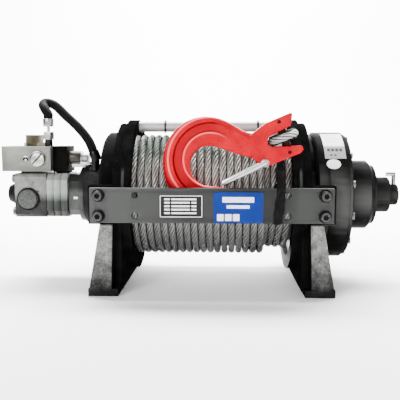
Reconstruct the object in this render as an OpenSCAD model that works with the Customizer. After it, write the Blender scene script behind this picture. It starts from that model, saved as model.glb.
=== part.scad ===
// Hydraulic winch: drum between two cast supports, orbital motor with brake on the left,
// two stage planetary gearbox and clutch on the right, wire rope with clevis hook.
// X runs along the drum, -Y is the rope side, Z is up, the origin is the middle of the base on the floor.

/* [Supports] */
// Height of the drum axis above the floor
axis_h = 178; // [174:1:190]
// Distance between the inner faces of the two supports
support_gap = 306; // [300:1:330]
// Thickness of the round flange of a support
ring_t = 18; // [16:1:22]
// Radius of the round flange of a support
ring_r = 155; // [153:0.5:158]
// Thickness of the web behind the round flange
web_t = 16; // [12:1:20]
// Radius of the upper part of the web
web_r = 148; // [142:1:150]
// Depth of the base along the rope direction
base_depth = 332; // [330:1:350]
// Width of the base flange
base_w = 56; // [50:1:60]
// Thickness of the base flange
base_t = 14; // [10:1:18]
// Step from the inner face of a support out to its base flange
base_step = 22; // [18:1:26]
// Diameter of the holes for the base bolts
base_hole_d = 17.5; // [13:0.5:18]
// Distance between the base bolts along the rope direction
base_hole_pitch = 230; // [200:1:250]
// Depth of the ribs that carry the tie plate
rib_t = 16; // [12:1:20]
// Width of a rib under the tie plate
rib_top_w = 24; // [20:1:26]
// Width of a rib at the base flange
rib_base_w = 44; // [34:1:45]
// Height of a gusset above the base flange
gusset_h = 26; // [16:1:30]

/* [Tie plate and rods] */
// Length of the tie plate
plate_l = 450; // [446:1:460]
// Height of the tie plate
plate_h = 65; // [60:1:70]
// Thickness of the tie plate
plate_t = 12; // [8:1:14]
// Drop of the plate centre below the drum axis
plate_drop = 6; // [0:1:10]
// Distance between the screws along the plate
screw_pitch_x = 416; // [410:1:420]
// Distance between the screws up the plate
screw_pitch_z = 38; // [34:1:40]
// Diameter of the plate screws
screw_d = 12; // [10:1:16]
// Distance between the fairlead holes along the plate
fairlead_pitch = 282; // [276:1:290]
// Diameter of the fairlead holes
fairlead_hole_d = 12; // [10:0.5:13]
// Distance of the tie rods from the drum axis
rod_ring_r = 141; // [140.5:0.5:142]
// Diameter of the rear tie rods
rod_d = 22; // [18:1:23]
// Angle of the rear tie rods above and below the axis
rod_angle = 25; // [15:1:35]
// Diameter of the core of the top tie rod
core_rod_d = 16; // [14:1:18]
// Outer diameter of the sleeves on the top tie rod
sleeve_d = 22; // [22:1:25]
// Length of the free turning roller
roller_l = 188; // [150:1:230]
// Shift of the roller from the middle
roller_shift = -2; // [-10:1:10]
// Diameter of the washers beside the roller
washer_d = 27; // [27:1:31]
// Thickness of the washers beside the roller
washer_t = 3.5; // [2:0.5:5]

/* [Drum and rope] */
// Outer diameter of the drum barrel
barrel_d = 146; // [130:1:160]
// Wall of the drum barrel
barrel_wall = 12; // [8:1:16]
// Radius of the drum flanges
flange_r = 126.5; // [125.5:0.5:127.5]
// Thickness of the drum flanges
flange_t = 8; // [6:1:9]
// Outer diameter of the drum journals
journal_d = 90; // [84:1:96]
// Bore of the drum journals
journal_bore_d = 76; // [72:1:78]
// Outer diameter of the drum bearings
bearing_d = 124; // [116:1:130]
// Diameter of the wire rope
rope_d = 14; // [12:0.5:14]
// Distance from turn to turn of the wire rope
rope_pitch = 14.5; // [14.5:0.1:15]
// Radius of the rope centre in the outer layer
outer_layer_r = 117.5; // [115:0.5:117.5]
// Rise from one rope layer to the next
layer_rise = 12.5; // [12.4:0.1:13]
// Place of the last outer turn along the drum
rope_end_x = 106; // [104:1:106]
// Turns of the lower layer that show at the right
lower_turns = 2.7; // [1.5:0.1:2.7]

/* [Planetary gears] */
// Wall outside the tooth roots of the ring gear
ring_wall = 30.75; // [29:0.25:32]
// Teeth of each sun gear
sun_n = 15; // [15]
// Teeth of each planet gear
planet_n = 24; // [24]
// Planets in each stage
planet_count = 3; // [3]
// Width of the gears
gear_w = 17; // [12:1:17]
// Play between meshing teeth
backlash = 0.3; // [0.2:0.05:0.5]
// Thickness of the carrier plates
carrier_t = 6; // [5:0.5:7]
// Diameter of the planet pins
planet_pin_d = 18; // [14:1:22]
// Diameter of the input shaft as a share of the pitch diameter of its sun gear
shaft_share = 0.6222; // [0.55:0.0001:0.65]

/* [Gearbox side] */
// Outer radius of the gear housing
housing_r = 129; // [126:1:132]
// Length of the neck of the gear housing
neck_l = 13; // [10:1:13]
// Length of the gear housing without its neck
housing_l = 61; // [61:1:66]
// Thickness of the cover flange
cover_t = 9; // [7:1:12]
// Distance of the cover screws from the edge of the housing
cover_bolt_inset = 11; // [11:0.5:16]
// Number of cover bolts
cover_bolts = 12; // [6:1:16]
// Radius of the clutch housing
clutch_r = 71; // [60:1:80]
// Length of the clutch housing
clutch_l = 55; // [50:1:70]
// Radius of the clutch cap
cap_r = 36.5; // [33:0.5:45]
// Length of the clutch cap
cap_l = 40; // [36:1:50]
// Radius of the clutch knob
knob_r = 22; // [18:1:26]
// Length of the clutch knob
knob_l = 19; // [16:1:24]
// Travel of the clutch plunger
plunger_travel = 12; // [6:1:12]

/* [Motor side] */
// Radius of the left hub housing
hub_r = 129; // [124:1:132]
// Length of the left hub housing
hub_l = 30.5; // [28:0.5:34]
// Radius of the brake housing
brake_r = 62; // [58:1:66]
// Length of the brake housing
brake_l = 44.5; // [42:0.5:50]
// Brake discs on the input shaft
brake_disc_count = 3; // [2:1:4]
// Length of the motor flange
motor_flange_l = 35; // [30:1:40]
// Length of the gerotor section
gerotor_l = 44; // [36:1:52]
// Length of the motor end housing
motor_end_l = 65; // [60:1:75]
// Width of the motor
motor_w = 96; // [90:1:104]
// Height of the motor
motor_h = 90; // [86:1:94]
// Length of the valve block
block_l = 100; // [96:1:106]
// Height of the valve block
block_h = 51; // [50:0.5:58]
// Depth of the valve block
block_w = 84; // [80:1:92]
// Outer diameter of the hose
hose_d = 19; // [14:0.5:20]

/* [Hook] */
// Thickness of the hook
hook_t = 26; // [22:1:26]
// Radius of the hook throat
throat_r = 38; // [34:1:40]
// Diameter of the load pin
load_pin_d = 16; // [14:1:18]
// Diameter of the retaining pins
retaining_pin_d = 6; // [4:0.5:7]
// Length of the safety latch
latch_l = 87; // [80:1:88]
// Thickness of the latch sheet
latch_t = 2.5; // [1.5:0.1:3]
// Diameter of the latch pin
latch_pin_d = 7; // [5:0.5:8]
// Radius of the rope centre round the thimble
eye_r = 23; // [21:0.5:23]
// Length of the rope ferrule
ferrule_l = 34; // [24:1:36]
// Width of the hook strap
strap_w = 18; // [14:1:20]
// Thickness of the hook strap
strap_t = 2.4; // [1.5:0.1:3]

/* [Hidden] */
$fn = 96;

// One overrun serves all cuts
over = 1;
// Radial play of a shaft in its own hole
run_clear = 0.05;
// Play between pieces of different bodies that only pass each other
pass_clear = 0.3;
// Play at the ends of a turning piece
end_clear = 0.5;

// Places along the drum, from the middle to the outside
support_x = support_gap / 2;
web_x = support_x + ring_t;
support_out_x = web_x + web_t;
base_x = support_x + base_step;
rim_clear = 1.5;
recess_r = flange_r + rim_clear;
flange_face_clear = 1;
flange_inset = 9;
flange_x = support_x + flange_inset;
recess_depth = flange_inset + flange_t + flange_face_clear;
base_edge_x = base_x + base_w;
base_hole_x = (support_out_x + base_edge_x) / 2;

// Places in front of the axis
plate_clear = 1;
screw_hole_depth = 26;
plate_back = max(ring_r, housing_r + screw_hole_depth) + plate_clear;
plate_front = plate_back + plate_t;
plate_z = axis_h - plate_drop;
base_half = base_depth / 2;

// Gears
pressure_angle = 20;
ring_n = sun_n + 2 * planet_n;
addendum_share = 0.8;
dedendum_share = 1.25;
gear_m = (housing_r - ring_wall) / (ring_n / 2 + dedendum_share);
gear_centres = gear_m * (sun_n + planet_n) / 2;
shaft_d = gear_m * sun_n * shaft_share;
gear_side_clear = 1;
gearbox_x = support_out_x + neck_l;
gearbox_wall = 3;
gear_space_x = gearbox_x + gearbox_wall;
carrier_2_x = gear_space_x + gear_side_clear;
stage_2_x = carrier_2_x + carrier_t + gear_side_clear;
carrier_1_x = stage_2_x + gear_w + gear_side_clear;
stage_1_x = carrier_1_x + carrier_t + gear_side_clear;
cover_x = gearbox_x + housing_l;
clutch_x = cover_x + cover_t;
cap_x = clutch_x + clutch_l;
knob_x = cap_x + cap_l;
carrier_clear = 8;
carrier_r = gear_m * (ring_n / 2 - addendum_share) - carrier_clear;
cover_bolt_r = housing_r - cover_bolt_inset;

// Places towards the motor, counted as distances left of the middle
hub_x = support_out_x;
brake_x = hub_x + hub_l;
motor_x = brake_x + brake_l;
gerotor_x = motor_x + motor_flange_l;
motor_end_x = gerotor_x + gerotor_l;
motor_out_x = motor_end_x + motor_end_l;

// Turns a shape from its own axis onto the drum axis, starting at x
module on_axis(x) {
    translate([x, 0, axis_h]) rotate([0, 90, 0]) children();
}

// A round disc on the drum axis from x to x + t, with an optional bore
module disc(x, t, r, bore = 0) {
    on_axis(x) difference() {
        cylinder(h = t, r = r);
        if (bore > 0) translate([0, 0, -over]) cylinder(h = t + 2 * over, r = bore);
    }
}

// A turned body on the drum axis from an outline of radius and length points
module turned(x, outline) {
    on_axis(x) rotate_extrude() polygon(outline);
}

// A flat shape in depth and height, thickened along the drum from x to x + t
module slab_x(x, t) {
    translate([x, 0, 0]) rotate([90, 0, 90]) linear_extrude(t) children();
}

// A flat shape in length and height, thickened from y to y + t
module slab_y(y, t) {
    translate([0, y + t, 0]) rotate([90, 0, 0]) linear_extrude(t) children();
}

// A box given by its lower and upper corners
module box(a, b) {
    translate(a) cube(b - a);
}

// A round bar along the rope direction from y to y + t
module bar_y(x, y, z, t, r) {
    translate([x, y + t, z]) rotate([90, 0, 0]) cylinder(h = t, r = r);
}

// A rectangle with cut corners, centred
function cut_corners(w, h, c) = [
    [-w / 2 + c, -h / 2], [w / 2 - c, -h / 2], [w / 2, -h / 2 + c], [w / 2, h / 2 - c],
    [w / 2 - c, h / 2], [-w / 2 + c, h / 2], [-w / 2, h / 2 - c], [-w / 2, -h / 2 + c]
];

// Sweeps a closed section along a list of stations, each station a ring of points
function ring_faces(rings, sides) = concat(
    [for (i = [0:rings - 2]) for (j = [0:sides - 1])
        [i * sides + j, (i + 1) * sides + j, i * sides + (j + 1) % sides]],
    [for (i = [0:rings - 2]) for (j = [0:sides - 1])
        [i * sides + (j + 1) % sides, (i + 1) * sides + j, (i + 1) * sides + (j + 1) % sides]],
    [for (j = [1:sides - 2]) [0, j, j + 1]],
    [for (j = [1:sides - 2]) [(rings - 1) * sides, (rings - 1) * sides + j + 1, (rings - 1) * sides + j]]
);
function unit(v) = v / norm(v);
function along(p, i) = unit(p[min(i + 1, len(p) - 1)] - p[max(i - 1, 0)]);
// Section axes square to the way t, the first one as near as can be to the guide g
function side_axis(t, g) = unit(g - t * (t * g));

module tube(route, r, sides, guide) {
    rings = len(route);
    points = [for (i = [0:rings - 1])
        let (t = along(route, i), a = side_axis(t, guide), b = cross(t, a))
        for (j = [0:sides - 1])
            route[i] + r * cos(360 * j / sides) * a + r * sin(360 * j / sides) * b];
    polyhedron(points, ring_faces(rings, sides), convexity = 10);
}

// A smooth way through chosen points, with steps points on each stretch
function spline_at(a, b, c, d, u) =
    (2 * b + (c - a) * u + (2 * a - 5 * b + 4 * c - d) * u * u + (3 * b - a - 3 * c + d) * u * u * u) / 2;
function spline(p, steps) = concat(
    [for (i = [0:len(p) - 2]) for (k = [0:steps - 1])
        spline_at(p[max(i - 1, 0)], p[i], p[i + 1], p[min(i + 2, len(p) - 1)], k / steps)],
    [p[len(p) - 1]]
);

// Supports

// Outline of a rib that carries the tie plate, in length and height, and of its gusset
rib_step = 8;
rib_in_x = base_x + rib_step;
rib_top_z = plate_z - plate_h / 2 - plate_clear * 3;
boss_depth = 34;
boss_margin = 10;
boss_w = rib_top_w + 2 * boss_margin;
boss_rise = 3;
rod_stud_d = 14;
rod_stud_l = 14;
bearing_w = web_t;
bearing_x = support_out_x - bearing_w;
gusset_t = 12;
gusset_edge = 6;
gusset_x = base_edge_x - gusset_edge;
gusset_y = base_hole_pitch / 4;
rear_rod_angles = [rod_angle, -rod_angle];

module rib(y) {
    slab_y(y, rib_t) polygon([
        [rib_in_x, rib_top_z], [rib_in_x + rib_top_w, rib_top_z],
        [base_edge_x - over, base_t / 2], [base_edge_x - rib_base_w, base_t / 2]
    ]);
}

module gusset(y) {
    slab_y(y - gusset_t / 2, gusset_t) polygon([
        [web_x, base_t / 2], [gusset_x, base_t / 2], [gusset_x, base_t],
        [support_out_x, base_t + gusset_h], [web_x, base_t + gusset_h]
    ]);
}

module support_body() {
    disc(support_x, ring_t, ring_r);
    disc(web_x - over, web_t + over, web_r);
    slab_x(web_x - over, web_t + over) polygon([
        [-base_half + rib_t, base_t / 2], [base_half - rib_t, base_t / 2], [web_r, axis_h], [-web_r, axis_h]
    ]);
    box([base_x, -base_half, 0], [base_edge_x, base_half, base_t]);
    rib(-base_half);
    rib(base_half - rib_t);
    for (y = [-gusset_y, 0, gusset_y]) gusset(y);
    box([web_x, -plate_back, rib_top_z - plate_clear],
        [screw_pitch_x / 2 + boss_w / 2, boss_depth - plate_back, plate_z + plate_h / 2 + boss_rise]);
}

module support() {
    difference() {
        support_body();
        disc(support_x - over, recess_depth + over, recess_r);
        disc(support_x, ring_t + web_t + over, bearing_d / 2);
        disc(support_out_x, boss_w, max(housing_r, hub_r) + pass_clear);
        for (a = rear_rod_angles) rod_hole(rod_ring_r * cos(a), rod_ring_r * sin(a));
        rod_hole(0, rod_ring_r);
        for (z = [-1, 1] * screw_pitch_z / 2)
            bar_y(screw_pitch_x / 2, -plate_back - over, plate_z + z, screw_hole_depth + over, screw_d / 2);
        for (y = [-1, 1] * base_hole_pitch / 2)
            translate([base_hole_x, y, -over]) cylinder(h = base_t + 2 * over, r = base_hole_d / 2);
    }
}

module rod_hole(y, z) {
    translate([0, y, z]) disc(support_x - over, rod_stud_l + end_clear + over, rod_stud_d / 2);
}

module support_left() {
    color([0.2, 0.2, 0.2]) mirror([1, 0, 0]) support();
}

module support_right() {
    color([0.2, 0.2, 0.2]) support();
}

// Tie plate with its screws

screw_play = 1.5;
screw_head_d = screw_d * 1.5;
socket_share = 0.875;
socket_r = screw_d / 2 * socket_share;
socket_depth = screw_d / 2;
screw_washer_t = 2;
screw_washer_rim = 3;
screw_washer_d = screw_head_d + 2 * screw_washer_rim;

module tie_plate() {
    color([0.25, 0.26, 0.25]) difference() {
        box([-plate_l / 2, -plate_front, plate_z - plate_h / 2], [plate_l / 2, -plate_back, plate_z + plate_h / 2]);
        for (x = [-1, 1] * screw_pitch_x / 2) for (z = [-1, 1] * screw_pitch_z / 2)
            bar_y(x, -plate_front - over, plate_z + z, plate_t + 2 * over, (screw_d + screw_play) / 2);
        for (x = [-1, 1] * fairlead_pitch / 2) for (z = [-1, 1] * screw_pitch_z / 2)
            bar_y(x, -plate_front - over, plate_z + z, plate_t + 2 * over, fairlead_hole_d / 2);
    }
}

module tie_plate_screw() {
    head_y = -plate_front - screw_washer_t;
    difference() {
        union() {
            bar_y(0, head_y - screw_d, 0, screw_d, screw_head_d / 2);
            bar_y(0, head_y, 0, screw_washer_t, screw_washer_d / 2);
            bar_y(0, head_y, 0, screw_washer_t + plate_t + screw_hole_depth - end_clear, screw_d / 2);
        }
        translate([0, head_y - screw_d - over, 0]) rotate([-90, 0, 0])
            cylinder(h = socket_depth + over, r = socket_r, $fn = 6);
    }
}

module tie_plate_screws() {
    color([0.1, 0.1, 0.1])
        for (x = [-1, 1] * screw_pitch_x / 2) for (z = [-1, 1] * screw_pitch_z / 2)
            translate([x, 0, plate_z + z]) tie_plate_screw();
}

// Tie rods

roller_x = roller_shift - roller_l / 2;
washer_left_x = roller_x - end_clear - washer_t;
washer_right_x = roller_x + roller_l + end_clear;

module top_rod_place() {
    translate([0, 0, rod_ring_r]) children();
}

module tie_rod(d) {
    disc(-support_x, support_gap, d / 2);
    disc(-support_x - rod_stud_l, support_gap + 2 * rod_stud_l, rod_stud_d / 2);
}

module tie_rod_top() {
    color([0.6, 0.6, 0.6]) top_rod_place() tie_rod(core_rod_d);
}

module tie_rods_rear() {
    color([0.15, 0.15, 0.15])
        for (a = rear_rod_angles)
            translate([0, rod_ring_r * cos(a), rod_ring_r * sin(a)]) tie_rod(rod_d);
}

module rod_sleeve_left() {
    color([0.7, 0.7, 0.7]) top_rod_place()
        disc(-support_x, washer_left_x + support_x, sleeve_d / 2, core_rod_d / 2);
}

module rod_sleeve_right() {
    sleeve_x = washer_right_x + washer_t;
    color([0.7, 0.7, 0.7]) top_rod_place()
        disc(sleeve_x, support_x - sleeve_x, sleeve_d / 2, core_rod_d / 2);
}

module rod_washers() {
    color([0.1, 0.1, 0.1]) top_rod_place()
        for (x = [washer_left_x, washer_right_x]) disc(x, washer_t, washer_d / 2, core_rod_d / 2);
}

module rod_roller() {
    color([0.75, 0.75, 0.75]) top_rod_place()
        disc(roller_x, roller_l, sleeve_d / 2, core_rod_d / 2 + run_clear);
}

// Drum

journal_x = flange_x + flange_t;
journal_past = 8;
journal_l = bearing_x + bearing_w - journal_x + journal_past;
drum_end_t = 12;

module drum_barrel() {
    color([0.3, 0.3, 0.3]) difference() {
        union() {
            disc(-flange_x, 2 * flange_x, barrel_d / 2);
            disc(-journal_x - journal_l, 2 * (journal_x + journal_l), journal_d / 2);
        }
        disc(drum_end_t - flange_x, 2 * (flange_x - drum_end_t), barrel_d / 2 - barrel_wall);
        disc(-journal_x - journal_l - over, 2 * (journal_x + journal_l + over), journal_bore_d / 2);
    }
}

module drum_flange() {
    rim_share = 0.96;
    color([0.25, 0.25, 0.25]) turned(flange_x, [
        [journal_d / 2, 0], [flange_r, 0], [flange_r, flange_t / 2], [flange_r * rim_share, flange_t],
        [journal_d / 2, flange_t]
    ]);
}

module drum_flange_left() {
    mirror([1, 0, 0]) drum_flange();
}

module drum_flange_right() {
    drum_flange();
}

module drum_bearing() {
    shield_depth = 1.5;
    lip = 5;
    difference() {
        disc(bearing_x, bearing_w, bearing_d / 2, journal_d / 2 + run_clear);
        for (x = [bearing_x - over, bearing_x + bearing_w - shield_depth])
            disc(x, shield_depth + over, bearing_d / 2 - lip, journal_d / 2 + lip);
    }
}

module drum_bearings() {
    color([0.6, 0.6, 0.62]) {
        drum_bearing();
        mirror([1, 0, 0]) drum_bearing();
    }
}

// Wire rope on the drum

rope_r = rope_d / 2;
loop_rings = 24;
rope_sides = 6;
lower_layer_r = outer_layer_r - layer_rise;
// Half of the drum length that the rope may use
rope_half = flange_x - rope_r - end_clear;
outer_turns = (rope_end_x + rope_half) / rope_pitch;
// The chords between two rings of a turn lie nearer to the axis than the rings
chord_share = cos(180 / loop_rings);
function core_under(layer) = (layer - rope_r) * chord_share - pass_clear;
core_step_x = rope_end_x - rope_pitch + rope_r;

function turn_point(x, layer, angle) = [x, layer * cos(angle), axis_h + layer * sin(angle)];

outer_rings = floor(outer_turns * loop_rings);
outer_start_angle = 90 - outer_rings * 360 / loop_rings;
outer_turn_points = [for (i = [0:outer_rings])
    turn_point(rope_end_x - rope_pitch * (outer_rings - i) / loop_rings, outer_layer_r,
        outer_start_angle + i * 360 / loop_rings)];

lower_rings = floor(lower_turns * loop_rings);
lower_start_angle = 15;
lower_turn_points = [for (i = [0:lower_rings])
    turn_point(rope_half - rope_pitch * i / loop_rings, lower_layer_r, lower_start_angle + i * 360 / loop_rings)];

// A winding as one tube, whose ends run straight for one rope diameter
module wound(points, straight_last) {
    rings = len(points);
    sections = [for (i = [0:rings - 1])
        let (out = unit([0, points[i][1], points[i][2] - axis_h]))
        for (j = [0:rope_sides - 1])
            points[i] + rope_r * cos(360 * j / rope_sides) * [1, 0, 0] + rope_r * sin(360 * j / rope_sides) * out];
    last = [for (j = [0:rope_sides - 1])
        sections[(rings - 1) * rope_sides + j] + straight_last];
    first = [for (j = [0:rope_sides - 1])
        sections[j] - rope_d * unit([0, points[1][1] - points[0][1], points[1][2] - points[0][2]])];
    polyhedron(concat(first, sections, last), ring_faces(rings + 2, rope_sides), convexity = 10);
}

function last_way(p) = rope_d * unit([0, p[len(p) - 1][1] - p[len(p) - 2][1], p[len(p) - 1][2] - p[len(p) - 2][2]]);

// Least gap of a winding to itself, measured from ring to ring of the next turn
function least_gap(p) = min([for (i = [0:len(p) - 1]) for (j = [i + loop_rings - 2:i + loop_rings + 2])
    if (j < len(p)) norm(p[i] - p[j]) - rope_d]);
echo(least_gap_outer_layer = least_gap(outer_turn_points), least_gap_lower_layer = least_gap(lower_turn_points));

module rope_core() {
    color([0.5, 0.5, 0.48]) {
        difference() {
            union() {
                disc(pass_clear - flange_x, flange_x + core_step_x - pass_clear, core_under(outer_layer_r));
                disc(core_step_x - over, flange_x - core_step_x - pass_clear + over, core_under(lower_layer_r));
            }
            disc(-flange_x, 2 * flange_x, barrel_d / 2);
        }
    }
}

module rope_outer_layer() {
    color([0.7, 0.72, 0.7]) wound(outer_turn_points, [0, -rope_d, 0]);
}

module rope_lower_layer() {
    color([0.65, 0.67, 0.65]) wound(lower_turn_points, last_way(lower_turn_points));
}

// Planetary gears

// Involute of an angle, in degrees
function inv(a) = tan(a) * 180 / PI - a;
// Half angle of a tooth at radius r, with play taken off, in degrees
function half_tooth(n, r, play) =
    let (pitch_r = gear_m * n / 2, base_r = pitch_r * cos(pressure_angle), a = acos(min(1, base_r / max(r, base_r))))
    90 / n - play / pitch_r * 90 / PI + inv(pressure_angle) - inv(a);
flank_shares = [0, 0.25, 0.5, 0.75, 1];
function gear_outline(n, root_r, tip_r, play) = [for (k = [0:n - 1])
    for (s = concat([for (f = flank_shares) [f, -1]], [for (f = flank_shares) [1 - f, 1]]))
        let (r = root_r + (tip_r - root_r) * s[0], a = 360 * k / n + s[1] * half_tooth(n, r, play))
            [r * cos(a), r * sin(a)]];

// Gears lie in the plane across the drum axis, with a tooth on the way up
module gear_2d(n) {
    pitch_r = gear_m * n / 2;
    rotate(90) polygon(gear_outline(n, pitch_r - dedendum_share * gear_m, pitch_r + addendum_share * gear_m, backlash / 2));
}

module ring_space_2d() {
    pitch_r = gear_m * ring_n / 2;
    rotate(90 + 180 / ring_n)
        polygon(gear_outline(ring_n, pitch_r - addendum_share * gear_m, pitch_r + dedendum_share * gear_m, -backlash / 2));
}

module gear(x, w, n, turn) {
    translate([x, 0, axis_h]) rotate([90, 0, 90]) rotate(turn) linear_extrude(w) gear_2d(n);
}

module planet(x, k) {
    spin = 360 / planet_count * k;
    color([0.6, 0.62, 0.66]) translate([0, 0, axis_h]) rotate([spin, 0, 0]) translate([0, 0, gear_centres - axis_h])
        difference() {
            gear(x, gear_w, planet_n, 180 / planet_n);
            disc(x - over, gear_w + 2 * over, planet_pin_d / 2 + run_clear);
        }
}

module planet_pins(x, l) {
    for (k = [0:planet_count - 1])
        translate([0, 0, axis_h]) rotate([360 / planet_count * k, 0, 0])
            translate([0, 0, gear_centres - axis_h]) disc(x, l, planet_pin_d / 2);
}

sun_play = 2;
sun_bore = shaft_d / 2 + sun_play;
sun_root_r = gear_m * (sun_n / 2 - dedendum_share);
module sun_carrier_1() {
    color([0.55, 0.57, 0.6]) difference() {
        union() {
            gear(stage_2_x, gear_w, sun_n, 0);
            disc(stage_2_x + gear_w - over, gear_side_clear + 2 * over, sun_root_r);
            disc(carrier_1_x, carrier_t, carrier_r);
            planet_pins(carrier_1_x, carrier_t + gear_side_clear + gear_w);
        }
        disc(stage_2_x - over, carrier_1_x - stage_2_x + carrier_t + 2 * over, sun_bore);
    }
}

spigot_x = flange_x + drum_end_t;
module carrier_2() {
    color([0.5, 0.52, 0.55]) difference() {
        union() {
            disc(spigot_x, carrier_2_x - spigot_x + over, journal_bore_d / 2);
            disc(carrier_2_x, carrier_t, carrier_r);
            planet_pins(carrier_2_x, carrier_t + gear_side_clear + gear_w);
        }
        disc(spigot_x - over, carrier_2_x - spigot_x + carrier_t + 2 * over, sun_bore);
    }
}

shaft_left_x = motor_x + motor_flange_l / 2;
shaft_past = 12;
shaft_right_x = clutch_x + shaft_past;
module input_shaft() {
    color([0.65, 0.66, 0.7]) {
        disc(-shaft_left_x, shaft_left_x + shaft_right_x, shaft_d / 2);
        gear(stage_1_x, gear_w, sun_n, 0);
    }
}

module planet_1a() { planet(stage_1_x, 0); }
module planet_1b() { planet(stage_1_x, 1); }
module planet_1c() { planet(stage_1_x, 2); }
module planet_2a() { planet(stage_2_x, 0); }
module planet_2b() { planet(stage_2_x, 1); }
module planet_2c() { planet(stage_2_x, 2); }

// Gearbox housings and clutch

neck_step = 13;
neck_r = housing_r - neck_step;
seam_in = 23;
seam_x = gearbox_x + seam_in;
seam_w = 2;
seam_depth = 2.5;
housing_cut = 5;
cover_step = 4;
cover_screw_d = 8;
cover_head_d = 13;
cover_head_l = 8;
cover_counter_depth = 5;
cover_screw_l = 22;
first_screw_angle = 15;

module gear_housing() {
    color([0.12, 0.13, 0.12]) difference() {
        union() {
            disc(support_out_x, neck_l + over, neck_r);
            turned(gearbox_x, [
                [0, 0], [housing_r - housing_cut, 0], [housing_r, housing_cut],
                [housing_r, housing_l], [0, housing_l]
            ]);
        }
        disc(seam_x, seam_w, housing_r + over, housing_r - seam_depth);
        disc(support_out_x - over, gear_space_x - support_out_x + 2 * over, journal_d / 2 + rim_clear);
        translate([gear_space_x, 0, axis_h]) rotate([90, 0, 90])
            linear_extrude(cover_x - gear_space_x + over) ring_space_2d();
        cover_screw_places() disc(cover_x - cover_screw_l, cover_screw_l + over, cover_screw_d / 2 + run_clear);
    }
}

module cover_screw_places() {
    for (k = [0:cover_bolts - 1])
        translate([0, 0, axis_h]) rotate([first_screw_angle + 360 / cover_bolts * k, 0, 0])
            translate([0, 0, cover_bolt_r - axis_h]) children();
}

module gear_cover() {
    color([0.1, 0.1, 0.1]) difference() {
        turned(cover_x, [
            [0, 0], [housing_r - cover_step, 0], [housing_r - cover_step, cover_t - 2], [housing_r - cover_step - 2, cover_t],
            [0, cover_t]
        ]);
        disc(cover_x - over, cover_t + 2 * over, shaft_d / 2 + run_clear);
        cover_screw_places() {
            disc(cover_x - over, cover_t + 2 * over, cover_screw_d / 2 + run_clear);
            disc(clutch_x - cover_counter_depth, cover_counter_depth + over, cover_head_d / 2 + end_clear);
        }
    }
}

module cover_screws() {
    color([0.75, 0.75, 0.75]) cover_screw_places() difference() {
        union() {
            disc(clutch_x - cover_counter_depth, cover_head_l, cover_head_d / 2);
            disc(cover_x - cover_screw_l + end_clear, cover_screw_l + cover_t, cover_screw_d / 2);
        }
        on_axis(clutch_x - cover_counter_depth + cover_head_l / 2)
            cylinder(h = cover_head_l, r = cover_screw_d / 2, $fn = 6);
    }
}

clutch_cut = 8;
clutch_play = 6;
clutch_bore = shaft_d / 2 + clutch_play;
plunger_step = 1;
plunger_r = shaft_d / 2 + plunger_step;
cap_wall = 6;
plunger_x = shaft_right_x + end_clear;
cap_bore_end = cap_x + cap_l - cap_wall;
lip_r = clutch_r - clutch_cut;

module clutch_housing() {
    color([0.1, 0.1, 0.1]) difference() {
        turned(clutch_x, [
            [0, 0], [clutch_r, 0], [clutch_r, clutch_l - clutch_cut], [lip_r, clutch_l], [0, clutch_l]
        ]);
        disc(clutch_x - over, clutch_l + 2 * over, clutch_bore);
    }
}

module clutch_cap() {
    rim = 2;
    foot_t = 6;
    color([0.08, 0.08, 0.08]) difference() {
        union() {
            disc(cap_x, foot_t, lip_r - rim);
            turned(cap_x, [[0, 0], [cap_r, 0], [cap_r, cap_l - rim], [cap_r - rim, cap_l], [0, cap_l]]);
        }
        disc(cap_x - over, cap_bore_end - cap_x + over, plunger_r + run_clear);
        disc(cap_bore_end - over, cap_wall + 2 * over, knob_stem_r + run_clear);
    }
}

module clutch_plunger() {
    color([0.6, 0.6, 0.6])
        disc(plunger_x, cap_bore_end - plunger_travel - end_clear - plunger_x, plunger_r);
}

knob_stem_r = 8;
lever_r = 4.5;
lever_reach = 17;
lever_gap = 2;
module clutch_knob() {
    rim = 2;
    color([0.1, 0.1, 0.1]) {
        turned(knob_x + pass_clear, [
            [0, 0], [knob_r, 0], [knob_r, knob_l - rim], [knob_r - rim, knob_l], [0, knob_l]
        ]);
        disc(cap_bore_end + end_clear, cap_wall, knob_stem_r);
    }
}

// The lever rises from the knob and turns back over it
module clutch_lever() {
    stem_x = knob_x + pass_clear + knob_l - lever_r * 1.5;
    lever_z = cap_r + lever_gap + lever_r;
    color([0.85, 0.85, 0.85]) difference() {
        union() {
            translate([stem_x, 0, axis_h + knob_r / 2]) cylinder(h = lever_z - knob_r / 2, r = lever_r);
            translate([0, 0, lever_z]) disc(stem_x - lever_reach, lever_reach, lever_r);
            translate([stem_x, 0, axis_h + lever_z]) sphere(r = lever_r);
        }
        disc(knob_x, knob_l + over, knob_r);
    }
}

// Hub housing, brake and motor

hub_cut = 6;
hub_play = 10;
hub_bore = shaft_d / 2 + hub_play;
brake_shell = 12;
brake_bore = brake_r - brake_shell;
brake_wall = 6;
brake_disc_t = 3;
brake_plate_t = 2.5;
brake_end_play = 4;
brake_stack_x = brake_x + brake_l - brake_wall - brake_end_play;
brake_gap = 1;
brake_pitch = brake_disc_t + brake_plate_t + brake_gap;

module hub_housing() {
    color([0.12, 0.12, 0.12]) mirror([1, 0, 0]) difference() {
        turned(hub_x, [
            [0, 0], [hub_r - hub_cut / 2, 0], [hub_r, hub_cut / 2], [hub_r, hub_l - hub_cut],
            [hub_r - hub_cut, hub_l], [0, hub_l]
        ]);
        disc(hub_x - over, journal_x + journal_l + end_clear - hub_x + over, journal_d / 2 + rim_clear);
        disc(hub_x - over, hub_l + 2 * over, hub_bore);
    }
}

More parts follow.
